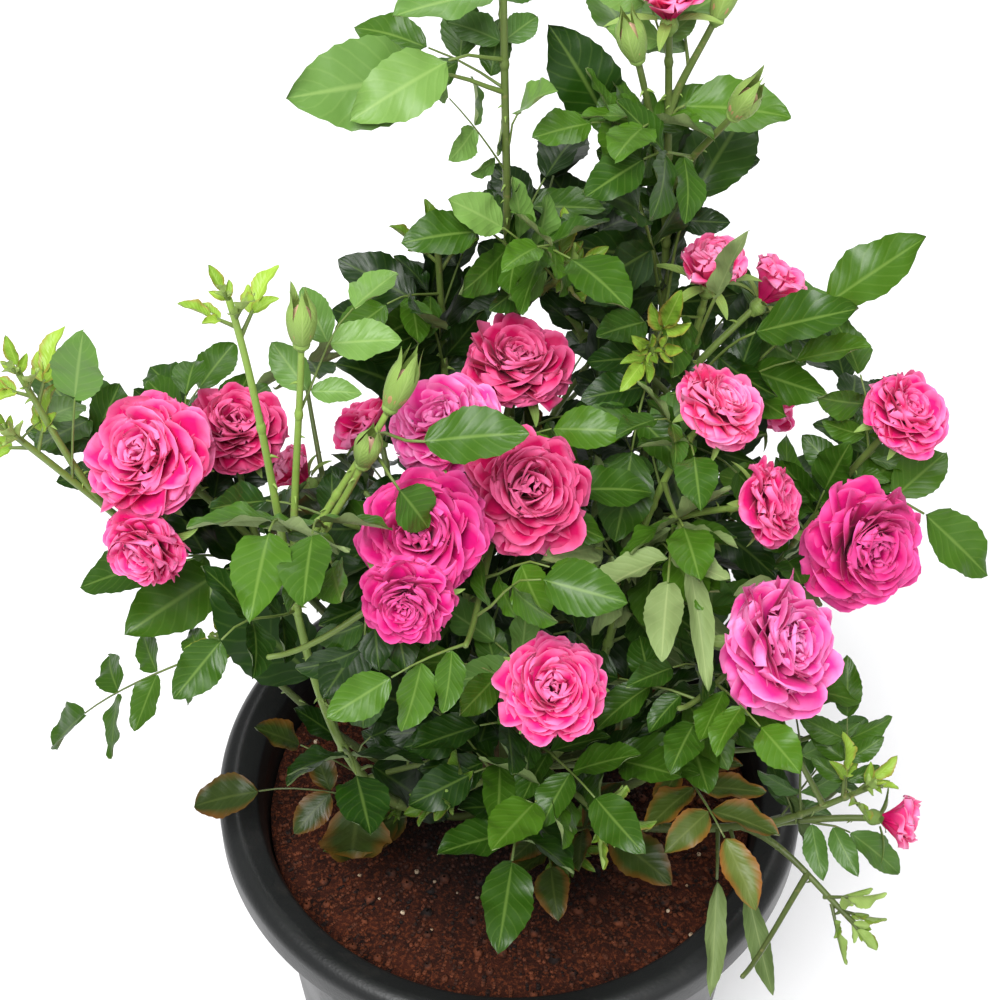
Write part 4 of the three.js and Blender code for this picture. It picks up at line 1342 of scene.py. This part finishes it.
def leaf_material(name, dark, light, vein, roughness, edge=None, edge_from=0):
    """A mottled blade with paler veins and a tinged edge if asked, dimmed as painted shade where it grows low
    or far in.
    """
    nodes = Nodes(name, roughness, 0.26)
    along, away = nodes.blade()
    mottle = nodes.noise(90, 4)
    # tone: a leaflet's own random tone, lowered below nothing by painted shade where other leaflets stand
    # over it
    share = nodes.plus(nodes.times(nodes.tone(), 0.75), nodes.times(mottle, 0.35))
    color = nodes.mix(share, dark, light)
    if edge:
        patch = nodes.plus(away, nodes.times(nodes.noise(55, 3), 0.9))
        color = nodes.mix(nodes.ramp(patch, edge_from + 0.35, edge_from + 0.85), color, edge)
    apart = side_veins(nodes, along, away)
    midrib = nodes.ramp(away, 0.09, 0.02)
    lines = nodes.greater(nodes.times(nodes.ramp(apart, 0.12, 0.0), 0.3), midrib)
    color = nodes.mix(nodes.times(lines, VEIN_STRENGTH), color, vein)
    # painted shade: darker low on the plant and where other leaflets stand over it
    low = nodes.ramp(nodes.upright(), 0.34, 0.2, 0.0, 0.42)
    inner = nodes.ramp(nodes.tone(), 0.1, -1.0, 0.0, 0.85)
    color = nodes.dimmed(nodes.greater(low, inner), color, PAINTED_SHADE)
    swell = nodes.times(nodes.ramp(apart, 0.0, 0.3), nodes.ramp(away, 0.0, 0.25))
    height = nodes.plus(nodes.times(nodes.noise(260, 2), 0.5), nodes.times(swell, 0.4))
    nodes.bump(height, 0.0003, 0.5)
    rough = nodes.ramp(mottle, 0.3, 0.7, roughness - 0.06, roughness + 0.1)
    return nodes.set(color=color, roughness=rough)


def petal_material(name, deep, main, rim):
    """A petal deepest at its foot and palest at its rim, that light shines through."""
    nodes = Nodes(name, 0.55, 0.16)
    along, away = nodes.blade()
    base = nodes.mix(nodes.ramp(along, 0.3, 0.75), deep, main)
    base = nodes.mix(nodes.times(nodes.ramp(nodes.tone(), 0.35, 1.0), 0.2), base, deep)
    sides = nodes.times(nodes.ramp(away, 0.82, 1.0), nodes.ramp(along, 0.4, 0.7))
    edge = nodes.greater(nodes.ramp(along, 0.82, 0.98), sides)
    patches = nodes.ramp(nodes.noise(120, 2), 0.3, 0.7, 0.45, 1.0)
    color = nodes.mix(nodes.times(edge, patches), base, rim)
    streak = nodes.noise(380, 2)
    color = nodes.mix(nodes.times(nodes.ramp(streak, 0.5, 0.75), 0.14), color, deep)
    nodes.bump(nodes.plus(streak, nodes.noise(90, 2)), 0.0005, 0.45)
    nodes.shader.inputs["Sheen Roughness"].default_value = 0.5
    material = nodes.set(color=color, sheen=0.05)
    through = nodes.add("ShaderNodeBsdfTranslucent", {"Color": color}).outputs[0]
    mixed = nodes.add("ShaderNodeMixShader", {0: PETAL_GLOW, 1: nodes.shader.outputs[0], 2: through})
    nodes.feed(nodes.tree.nodes["Material Output"].inputs["Surface"], mixed.outputs[0])
    return material


def stem_material(name, low, high, speck):
    """Green skin, duller low on the plant and where its tone is low, with pale specks."""
    nodes = Nodes(name, 0.5, 0.4)
    blotch = nodes.noise(70, 4)
    up = nodes.plus(nodes.ramp(nodes.upright(), 0.19, 0.34), nodes.times(nodes.less(blotch, 0.5), 0.7))
    color = nodes.mix(nodes.math("MULTIPLY", up, nodes.tone(), clamp=True), low, high)
    color = nodes.mix(nodes.ramp(nodes.noise(420, 2), 0.62, 0.72, 0.0, 0.5), color, speck)
    nodes.bump(nodes.noise(300, 3), 0.0004, 0.6)
    return nodes.set(color=color, roughness=nodes.ramp(blotch, 0.3, 0.7, 0.42, 0.62))


def bark_material():
    nodes = Nodes("bark", 0.85, 0.25)
    blotch = nodes.noise(60, 5)
    ridges = nodes.noise(220, 5, 0.7)
    color = nodes.mix(blotch, (0.075, 0.045, 0.022), (0.2, 0.14, 0.075))
    color = nodes.mix(nodes.ramp(ridges, 0.45, 0.35), color, (0.025, 0.014, 0.008))
    nodes.bump(ridges, 0.0016, 0.9)
    return nodes.set(color=color)


def shade_soil_near_crown(nodes, color):
    """A colour dimmed by painted shade under the plant: wholly near the crown, and none from halfway to the
    wall.
    """
    place = nodes.add("ShaderNodeSeparateXYZ", {"Vector": nodes.place()}).outputs
    squares = [nodes.math("POWER", place[axis], 2.0) for axis in "XY"]
    away = nodes.math("SQRT", nodes.plus(*squares))
    shade_near_crown = nodes.ramp(nodes.plus(away, nodes.times(nodes.noise(60, 3), 0.02)), 0.078, 0.045)
    return nodes.dimmed(shade_near_crown, color, SOIL_SHADE)


def soil_material():
    nodes = Nodes("soil", 0.92, 0.2)
    lumps = nodes.noise(130, 6, 0.7)
    grit = nodes.noise(700, 4, 0.7)
    color = nodes.mix(nodes.ramp(lumps, 0.3, 0.7), (0.0035, 0.001, 0.0006), (0.055, 0.0115, 0.0045))
    color = nodes.mix(nodes.ramp(grit, 0.5, 0.62, 0.0, 0.75), color, (0.14, 0.034, 0.011))
    nodes.bump(nodes.plus(nodes.times(lumps, 0.7), nodes.times(grit, 0.5)), 0.003, 1.0)
    # the soil's colour with painted shade under the plant, near the crown
    return nodes.set(color=shade_soil_near_crown(nodes, color))


def grain_material(name, color_a, color_b):
    nodes = Nodes(name, 0.8, 0.3)
    color = nodes.mix(nodes.ramp(nodes.noise(240, 3), 0.4, 0.62), color_a, color_b)
    nodes.bump(nodes.noise(900, 3), 0.0004, 0.7)
    # with the same painted shade under the plant, near the crown
    return nodes.set(color=shade_soil_near_crown(nodes, color))


def pot_material():
    """Black plastic with a little dust."""
    nodes = Nodes("black_plastic", 0.42, 0.35)
    cloud = nodes.noise(14, 4)
    grain = nodes.noise(900, 2)
    color = nodes.mix(cloud, (0.006, 0.0066, 0.0068), (0.013, 0.014, 0.014))
    dust = nodes.ramp(nodes.noise(45, 6, 0.7), 0.56, 0.78, 0.0, 0.3)
    color = nodes.mix(dust, color, (0.06, 0.05, 0.042))
    nodes.bump(nodes.plus(grain, nodes.times(nodes.noise(160, 3), 0.6)), 0.0002, 0.5)
    rough = nodes.plus(nodes.ramp(cloud, 0.3, 0.7, 0.34, 0.5), nodes.times(dust, 0.8))
    return nodes.set(color=color, roughness=rough)


# The upper and the under side of each kind of leaf: two colours, that of the veins and how rough it is, then
# the colour of the edge and how far out it begins.
LEAF_LOOKS = {
    "grown": (
        ((0.012, 0.044, 0.0025), (0.06, 0.148, 0.008), (0.19, 0.3, 0.06), 0.38),
        ((0.12, 0.18, 0.055), (0.24, 0.31, 0.12), (0.34, 0.4, 0.17), 0.65),
    ),
    "young": (
        ((0.055, 0.135, 0.022), (0.145, 0.265, 0.055), (0.26, 0.38, 0.11), 0.4),
        ((0.19, 0.28, 0.08), (0.3, 0.4, 0.14), (0.38, 0.48, 0.2), 0.6),
    ),
    "old": (
        ((0.05, 0.082, 0.012), (0.12, 0.155, 0.028), (0.18, 0.22, 0.06), 0.42, (0.24, 0.09, 0.014), 0.62),
        ((0.14, 0.17, 0.05), (0.22, 0.23, 0.07), (0.3, 0.3, 0.12), 0.65),
    ),
    "shoot": (
        ((0.14, 0.27, 0.022), (0.3, 0.45, 0.05), (0.4, 0.53, 0.12), 0.4, (0.3, 0.16, 0.04), 0.8),
        ((0.24, 0.36, 0.08), (0.35, 0.48, 0.14), (0.42, 0.53, 0.2), 0.55),
    ),
}
LEAF_MATERIALS = {
    kind: (leaf_material(f"leaf_{kind}", *upper), leaf_material(f"leaf_{kind}_under", *under))
    for kind, (upper, under) in LEAF_LOOKS.items()
}
LEAF_MATERIALS["turned"] = LEAF_MATERIALS["grown"][::-1]

# The colours at a petal's foot, over most of it and at its rim.
PETAL_LOOKS = {
    "pink": ((0.36, 0.001, 0.055), (0.78, 0.011, 0.19), (0.98, 0.29, 0.57)),
    "crimson": ((0.2, 0.0006, 0.022), (0.52, 0.004, 0.092), (0.92, 0.19, 0.42)),
    "lilac": ((0.38, 0.002, 0.09), (0.74, 0.03, 0.28), (0.95, 0.34, 0.66)),
    "rose": ((0.6, 0.004, 0.12), (0.9, 0.055, 0.26), (0.98, 0.36, 0.6)),
    "purple": ((0.26, 0.0008, 0.055), (0.6, 0.006, 0.17), (0.9, 0.14, 0.44)),
}
PETAL_MATERIALS = {tint: petal_material(f"petal_{tint}", *colors) for tint, colors in PETAL_LOOKS.items()}
STEM_GREEN = stem_material("stem_green", (0.055, 0.075, 0.018), (0.2, 0.31, 0.055), (0.22, 0.19, 0.07))
SEPAL_GREEN = leaf_material("sepal_green", (0.11, 0.2, 0.04), (0.25, 0.37, 0.085), (0.34, 0.45, 0.15), 0.5)
BUD_CREAM = petal_material("bud_petal", (0.5, 0.3, 0.14), (0.72, 0.5, 0.28), (0.85, 0.5, 0.4))
SOIL_CRUMB = grain_material("soil_crumb", (0.006, 0.0016, 0.0009), (0.12, 0.03, 0.01))
SOIL_GRAIN = grain_material("soil_grain", (0.3, 0.19, 0.11), (0.62, 0.5, 0.36))

# ---- pieces ----


def shade_inner_leaves(leaflets):
    """Paints shade into the tone: lowers it, below nothing if need be, for leaflets that others stand high
    over.
    """
    places = np.array([item["base"] + item["out"] * item["length"] / 2 for item in leaflets])
    toward = unit(SHADE_TOWARD)
    height = places @ toward
    flat = places - height[:, None] * toward
    for item, place, own in zip(leaflets, flat, height):
        near = np.linalg.norm(flat - place, axis=1) < SHADE_REACH
        over = (height[near].max() - own - SHADE_FROM) / SHADE_DEPTH
        strength = np.interp(item["base"][2], SHADE_HEIGHTS, SHADE_STRENGTHS)
        item["tone"] -= strength * np.clip(over, 0, 1)


MOST_LEAFLETS = 550  # in one piece


def make_leaves(plant):
    shade_inner_leaves(plant["leaflets"])
    for kind, materials in LEAF_MATERIALS.items():
        leaflets = [item for item in plant["leaflets"] if item["kind"] == kind]
        pieces = math.ceil(len(leaflets) / MOST_LEAFLETS)
        for n in range(pieces):
            part = leaflet_meshes(leaflets[n::pieces])
            name = f"leaves_{kind}" + (f"_{n + 1}" if pieces > 1 else "")
            make_piece(name, [part], materials)


# Places along a node, and how thick the stem is there for its usual thickness.
SWELLING = [(-2.4, 0.8), (-1.3, 1.15), (0, 1.32), (1.3, 1.12), (2.4, 0.8)]
PRICKLE_SLENDER = 0.24  # its foot's radius for its length
PRICKLE_HOOK = 0.45
FULL_TURN = 6.28
STEM_PRICKLES = (11, (0.05, 0.85), (1.2, 2.6))  # length of stem for each, the part with any, and their sizes
CANE_PRICKLES = (9, (0.15, 0.95), (1.8, 3.4))
MAIN_STEM_TIP = 1.0
SIDE_STEM = (1.4, 0.9)  # radii at foot and tip
SUNK_IN_CROWN = 9
SUNK_IN_CANE = 2
SHORT_OF_FLOWER = 3
STEM_SIDES = 8
USUAL_STEM_TONE = 0.3
TWIG_TONE = 0.4


def node_swelling(stem, shares, foot, tip, tone):
    """Slight rings where leaves join a stem."""
    offsets, thicker = np.array(SWELLING).T
    parts = []
    for share in shares:
        radius = foot + (tip - foot) * share**STEM_TAPER
        centres = stem.at(share) + offsets[:, None] * stem.way(share)
        parts.append(tube(centres, radius * thicker, STEM_SIDES, tone))
    return parts


def prickle(stem, share, turn, size, radius):
    """A small hooked thorn."""
    centre, way = stem.at(share), stem.way(share)
    out = turned(square_to(np.array([0.3, 0.5, 0.2]), way), way, turn)
    shares = np.linspace(0, 1, 5)[:, None]
    places = centre + out * (radius * 0.7 + size * shares) - way * size * PRICKLE_HOOK * shares**2
    return tube(places, size * PRICKLE_SLENDER * (1 - shares.ravel()) ** 0.8 + 0.04, 6, 0.9)


def prickles(random, stem, scatter, foot, tip):
    """Thorns scattered along part of a stem."""
    every, reach, sizes = scatter
    parts = []
    for _ in range(int(stem.length / every)):
        share = between(random, *reach)
        turn = random() * FULL_TURN
        radius = foot + (tip - foot) * share
        parts.append(prickle(stem, share, turn, between(random, *sizes), radius))
    return parts


def mass_stems(mass, owner):
    """The cane and the stems of one mass, with their nodes and prickles."""
    tone = STEM_TONE.get(mass["name"], USUAL_STEM_TONE)
    cane = mass["cane_stem"]
    parts = [stem_tube(cane, CANE_FOOT, CANE_TIP, 10, tone, sunk=SUNK_IN_CROWN)] if cane else []
    for i, (shoot, stem) in enumerate(mass["stems"]):
        foot, tip = SIDE_STEM if i else (CANE_TIP, MAIN_STEM_TIP)
        sunk = 0 if i else SUNK_IN_CANE if cane else SUNK_IN_CROWN
        short = BASE_DROP.get(shoot["end"], 0) * shoot["size"] / 2 + SHORT_OF_FLOWER
        parts.append(stem_tube(stem, foot, tip, STEM_SIDES, tone, sunk=sunk, short=short))
        parts += prickles(seeded(owner, SEEDS["prickle"], i), stem, STEM_PRICKLES, foot, tip)
        shares = (np.arange(shoot["leaves"]) + 0.7) / (shoot["leaves"] + 0.4)
        parts += node_swelling(stem, shares, foot, tip, tone)
    if cane:
        parts += prickles(seeded(owner, SEEDS["cane_prickle"]), cane, CANE_PRICKLES, CANE_TIP, CANE_TIP)
    return parts


def make_stems(plant):
    parts = [part for owner, mass in enumerate(MASSES) for part in mass_stems(mass, owner)]
    parts += [stem_tube(twig, TWIG_FOOT, TWIG_TIP, 6, TWIG_TONE) for twig in plant["twigs"]]
    canes = [f"cane_{mass['name']}" for mass in MASSES if mass["cane"]]
    masses = [f"foliage_{mass['name']}" for mass in MASSES]
    make_piece("stems", parts, [STEM_GREEN], canes + masses)
    stalks = [stem_tube(rachis, foot, tip, 5, TWIG_TONE, step=6) for rachis, foot, tip in plant["rachises"]]
    make_piece("leaf_stalks", stalks, [STEM_GREEN])


def make_blossom(plant):
    petals = {tint: [] for tint in PETAL_MATERIALS}
    green, furled = [], []
    for owner, mass in enumerate(MASSES):
        for i, (shoot, stem) in enumerate(mass["stems"]):
            way, seed = stem.way(1), owner * MOST_STEMS + i
            if shoot["end"] == "sprout":
                stalks, leaflets = sprout_leaflets(shoot, way, seed)
                plant["rachises"] += [(stalk, 0.8, 0.5) for stalk in stalks]
                plant["leaflets"] += leaflets
                continue
            if shoot["end"] == "bud":
                body, sepals = bud_part(shoot, way, seed)
                furled.append(body)
            else:
                petals[shoot["tint"]] += whorl_petals(shoot, way, seed)
                sepals = sepal_parts(shoot, way, seed)
            green += [*sepals, hip_part(shoot, way)]
    for tint, made in petals.items():
        make_piece(f"petals_{tint}", [petal_mesh(made)], [PETAL_MATERIALS[tint]])
    make_piece("sepals", green, [SEPAL_GREEN])
    make_piece("bud_petals", furled, [BUD_CREAM])


def lathe_part(profile, sides):
    """A [radius, height] profile turned about the upright axis, closed on itself."""
    rows = np.array(profile, float)
    angles = np.arange(sides) * 2 * np.pi / sides
    ring = np.stack([np.cos(angles), np.sin(angles)], -1)
    flat = rows[:, None, :1] * ring[None]
    verts = np.concatenate([flat, np.broadcast_to(rows[:, None, 1:], (len(rows), sides, 1))], -1)
    return {"verts": verts.reshape(-1, 3), "quads": grid_quads(len(rows), sides, closed=True)}


def rounded(points, radius, steps=4):
    """A profile with its corners rounded off."""
    points = np.array(points, float)
    made = []
    for i, corner in enumerate(points):
        if i in (0, len(points) - 1):
            made.append(corner)
            continue
        before, after = points[i - 1] - corner, points[i + 1] - corner
        cut = min(radius, 0.45 * np.linalg.norm(before), 0.45 * np.linalg.norm(after))
        a, b = corner + unit(before) * cut, corner + unit(after) * cut
        for t in np.linspace(0, 1, steps + 1):
            made.append((1 - t) ** 2 * a + 2 * (1 - t) * t * corner + t**2 * b)
    return made


POT_SIDES = 160
NEAR_AXIS = 1.0  # where the profile begins and ends
CORNER_ROUNDING = 1.6
SHOULDER_DROP = 11  # from the top of the pot to where its wall meets the rim, outside
LEDGE_DROPS = (4, 10)  # and inside, to the rim's inner edge and to the wall
# The rim's corners, from its underside up and inwards: how far in from its outside and under its top.
RIM_CORNERS = [(POT_WALL, 5.5), (POT_WALL, LIP_DROP), (0, LIP_DROP), (0, 4), (2.5, 1), (6, 0)]


def make_pot():
    """The nursery pot, with its turned-down rim, tapering wall and flat foot."""
    profile = rounded([
        [NEAR_AXIS, 0],
        [BASE_RADIUS, 0],
        [WALL_TOP_RADIUS, POT_HEIGHT - SHOULDER_DROP],
        *([RIM_RADIUS - inwards, POT_HEIGHT - down] for inwards, down in RIM_CORNERS),
        [WALL_TOP_RADIUS, POT_HEIGHT - LEDGE_DROPS[0]],
        [WALL_TOP_RADIUS - POT_WALL, POT_HEIGHT - LEDGE_DROPS[1]],
        [BASE_RADIUS - POT_WALL, POT_WALL],
        [NEAR_AXIS, POT_WALL],
    ], CORNER_ROUNDING)
    part = lathe_part([*profile, profile[0]], POT_SIDES)
    part["uv"] = part["verts"][:, :2] / RIM_RADIUS
    make_piece("nursery_pot", [part], [pot_material()], ["pot"])


SOIL_RINGS = 90
SOIL_SIDES = 260
SOIL_RADIUS = WALL_TOP_RADIUS - POT_WALL - 1.6
SOIL_LIFT = 0.6
SOIL_INNERMOST = 0.4  # radius of the first ring
CRUMB_EDGE = 2.5  # crumbs stay this far from the soil's edge
RELIEF = [(1.6, 17, 1), (1.1, 5.5, 7), (0.7, 2.4, 13)]  # height, breadth and seed of each size of lump
FLAT_UNTIL = 25  # radius within which the lumps fade towards the crown
# Radii and heights of the rings under the surface.
UNDERSIDE = [(SOIL_RADIUS - 1.5, 150), (60, POT_WALL + 20), (SOIL_INNERMOST, POT_WALL + 20)]
CRUMBS = 3400
LUMP_SHARE = 0.06  # of the crumbs, which are larger
LUMP_SIZE = 2.4
PALE_SHARE = 0.012  # of the crumbs, which are grains of another stuff
CRUMB_ROWS = 5
CRUMB_SIDES = 6


def compass(sides):
    """The cosine and sine of each of a number of even turns."""
    angles = [2 * math.pi * k / sides for k in range(sides)]
    return [(math.cos(angle), math.sin(angle)) for angle in angles]


def relief(x, y, scale, seed):
    return noise.noise(Vector((x / scale, y / scale, seed)))


def soil_height(x, y, radius):
    """The height of the soil's surface, lumpy and a little lower at the wall."""
    fall = SOIL_EDGE_DROP * (radius / SOIL_RADIUS) ** 4
    lumps = sum(height * relief(x, y, breadth, seed) for height, breadth, seed in RELIEF)
    return SOIL_TOP - fall + lumps * min(1, radius / FLAT_UNTIL) + SOIL_LIFT


def make_soil():
    """Granular potting soil, with loose crumbs and a few pale grains."""
    verts = []
    for radius in np.linspace(SOIL_INNERMOST, SOIL_RADIUS, SOIL_RINGS):
        places = [(radius * cos, radius * sin) for cos, sin in compass(SOIL_SIDES)]
        verts += [(x, y, soil_height(x, y, radius)) for x, y in places]
    for radius, height in UNDERSIDE:
        verts += [(radius * cos, radius * sin, height) for cos, sin in compass(SOIL_SIDES)]
    quads = grid_quads(SOIL_RINGS + len(UNDERSIDE), SOIL_SIDES, closed=True)
    part = {"verts": np.array(verts), "quads": quads}
    part["uv"] = part["verts"][:, :2] / SOIL_RADIUS
    make_piece("soil_bed", [part], [soil_material()], ["soil"])
    scatter_crumbs(part["verts"][: SOIL_RINGS * SOIL_SIDES].reshape(SOIL_RINGS, SOIL_SIDES, 3))


def scatter_crumbs(surface):
    """Crumbs and pale grains on the soil, clear of the crown's foot."""
    crumbs, pale = [], []
    for n in range(CRUMBS):
        random = seeded(SEEDS["soil"], n)
        radius = (SOIL_RADIUS - CRUMB_EDGE) * math.sqrt(random())
        if radius < CROWN_FLARE + 1:
            continue
        ring = min(SOIL_RINGS - 1, int(radius / SOIL_RADIUS * SOIL_RINGS))
        place = surface[ring, int(random() * SOIL_SIDES) % SOIL_SIDES]
        size = between(random, 0.45, 1.0) * (LUMP_SIZE if random() < LUMP_SHARE else 1)
        (pale if random() < PALE_SHARE else crumbs).append(crumb(place, size, random))
    make_piece("soil_crumbs", crumbs, [SOIL_CRUMB])
    make_piece("soil_grains", pale, [SOIL_GRAIN])


def crumb(place, size, random):
    """A small lump with rough faces."""
    verts = []
    for i in range(CRUMB_ROWS):
        polar = math.pi * (0.08 + 0.84 * i / (CRUMB_ROWS - 1))
        for cos, sin in compass(CRUMB_SIDES):
            reach = size * between(random, 0.75, 1.25)
            out = reach * math.sin(polar)
            verts.append((out * cos, out * sin, 0.8 * reach * math.cos(polar)))
    return {
        "verts": np.array(verts) + place + [0, 0, 0.25 * size],
        "quads": grid_quads(CRUMB_ROWS, CRUMB_SIDES, closed=True)[:, ::-1],
        "uv": np.zeros((CRUMB_ROWS * CRUMB_SIDES, 2)),
    }


CROWN_RINGS = 46
CROWN_SIDES = 64
CROWN_TUCK = 0.72 * math.pi  # angle from its top at which the crown narrows to its neck
CROWN_TUCK_DROP = 11.5  # and how far under its centre that is
ROOT_DEPTH = 4


def make_crown():
    """The knotty woody stem that all the canes spring from, with ridged bark."""
    tuck = CROWN_CENTRE[2] - CROWN_TUCK_DROP
    verts = []
    for n in range(CROWN_RINGS):
        share = n / (CROWN_RINGS - 1)
        polar = share * 0.98 * math.pi
        z = CROWN_CENTRE[2] + CROWN_RADIUS * math.cos(polar)
        radius = CROWN_RADIUS * math.sin(polar) + 0.3
        if polar > CROWN_TUCK:
            low = (polar - CROWN_TUCK) / (0.26 * math.pi)
            z = tuck - low * (tuck - SOIL_TOP + ROOT_DEPTH)
            radius = CROWN_NECK + 0.8 + (CROWN_FLARE - CROWN_NECK) * max(0.0, low - 0.25) ** 1.8
        for cos, sin in compass(CROWN_SIDES):
            place = Vector((cos * 1.6, sin * 1.6, z / 9))
            ridge = 1.1 * noise.noise(place * 1.3) + 0.5 * noise.noise(place * 4.2)
            reach = max(0.3, radius + ridge * min(1, radius / 6) - 0.5)
            verts.append((reach * cos, reach * sin, z))
    part = {"verts": np.array(verts), "quads": grid_quads(CROWN_RINGS, CROWN_SIDES, closed=True)[:, ::-1]}
    part["uv"] = part["verts"][:, :2] / CROWN_FLARE
    make_piece("crown_wood", [part], [bark_material()], ["crown"])


grow_solids()
plant = grow_fine()
make_blossom(plant)
make_stems(plant)
make_leaves(plant)
make_crown()
make_soil()
make_pot()

# ---- floor, light and camera ----

VIEW_ELEVATION = math.radians(46.1)
VIEW_TARGET = Vector((-0.0035, 0, 0.3166))
VIEW_DISTANCE = 0.6836
LENS_MM = 80
SENSOR_MM = 36
NEAREST = 0.01

FLOOR_SIZE = 12
FLOOR_COLOR = (0.92, 0.92, 0.93)
LIGHT_AIM = Vector((0, 0, 0.3))
LIGHTS = {  # place, width and power
    "key": ((-0.3, -0.85, 1.85), 1.2, 60),
    "fill": ((1.3, -0.9, 1.2), 1.4, 6),
    "back": ((0.3, 1.3, 1.5), 1.2, 14),
}
SKY_STRENGTH = 0.33


def make_floor():
    nodes = Nodes("floor", 0.9, 0.1)
    bpy.ops.mesh.primitive_plane_add(size=FLOOR_SIZE)
    floor = bpy.context.object
    floor.name = "floor"
    floor.data.materials.append(nodes.set(color=FLOOR_COLOR))


def facing(way):
    """The turn that points a light or a camera along a direction."""
    return way.to_track_quat("-Z", "Y").to_euler()


def make_softbox(name, place, size, power):
    light = bpy.data.lights.new(name, "AREA")
    light.shape = "DISK"
    light.size = size
    light.energy = power
    lamp = bpy.data.objects.new(name, light)
    lamp.location = place
    lamp.rotation_euler = facing(LIGHT_AIM - Vector(place))
    bpy.context.scene.collection.objects.link(lamp)


def make_camera():
    back = Vector((0, -math.cos(VIEW_ELEVATION), math.sin(VIEW_ELEVATION)))
    data = bpy.data.cameras.new("camera")
    data.lens = LENS_MM
    data.sensor_width = SENSOR_MM
    data.clip_start = NEAREST
    camera = bpy.data.objects.new("camera", data)
    camera.location = VIEW_TARGET + back * VIEW_DISTANCE
    camera.rotation_euler = facing(-back)
    bpy.context.scene.collection.objects.link(camera)
    bpy.context.scene.camera = camera


def make_sky():
    world = bpy.data.worlds.new("studio")
    world.use_nodes = True
    sky = world.node_tree.nodes["Background"].inputs
    sky["Color"].default_value = (1, 1, 1, 1)
    sky["Strength"].default_value = SKY_STRENGTH
    bpy.context.scene.world = world


make_floor()
for name, settings in LIGHTS.items():
    make_softbox(name, *settings)
make_camera()
make_sky()
bpy.context.scene.view_settings.view_transform = "Standard"
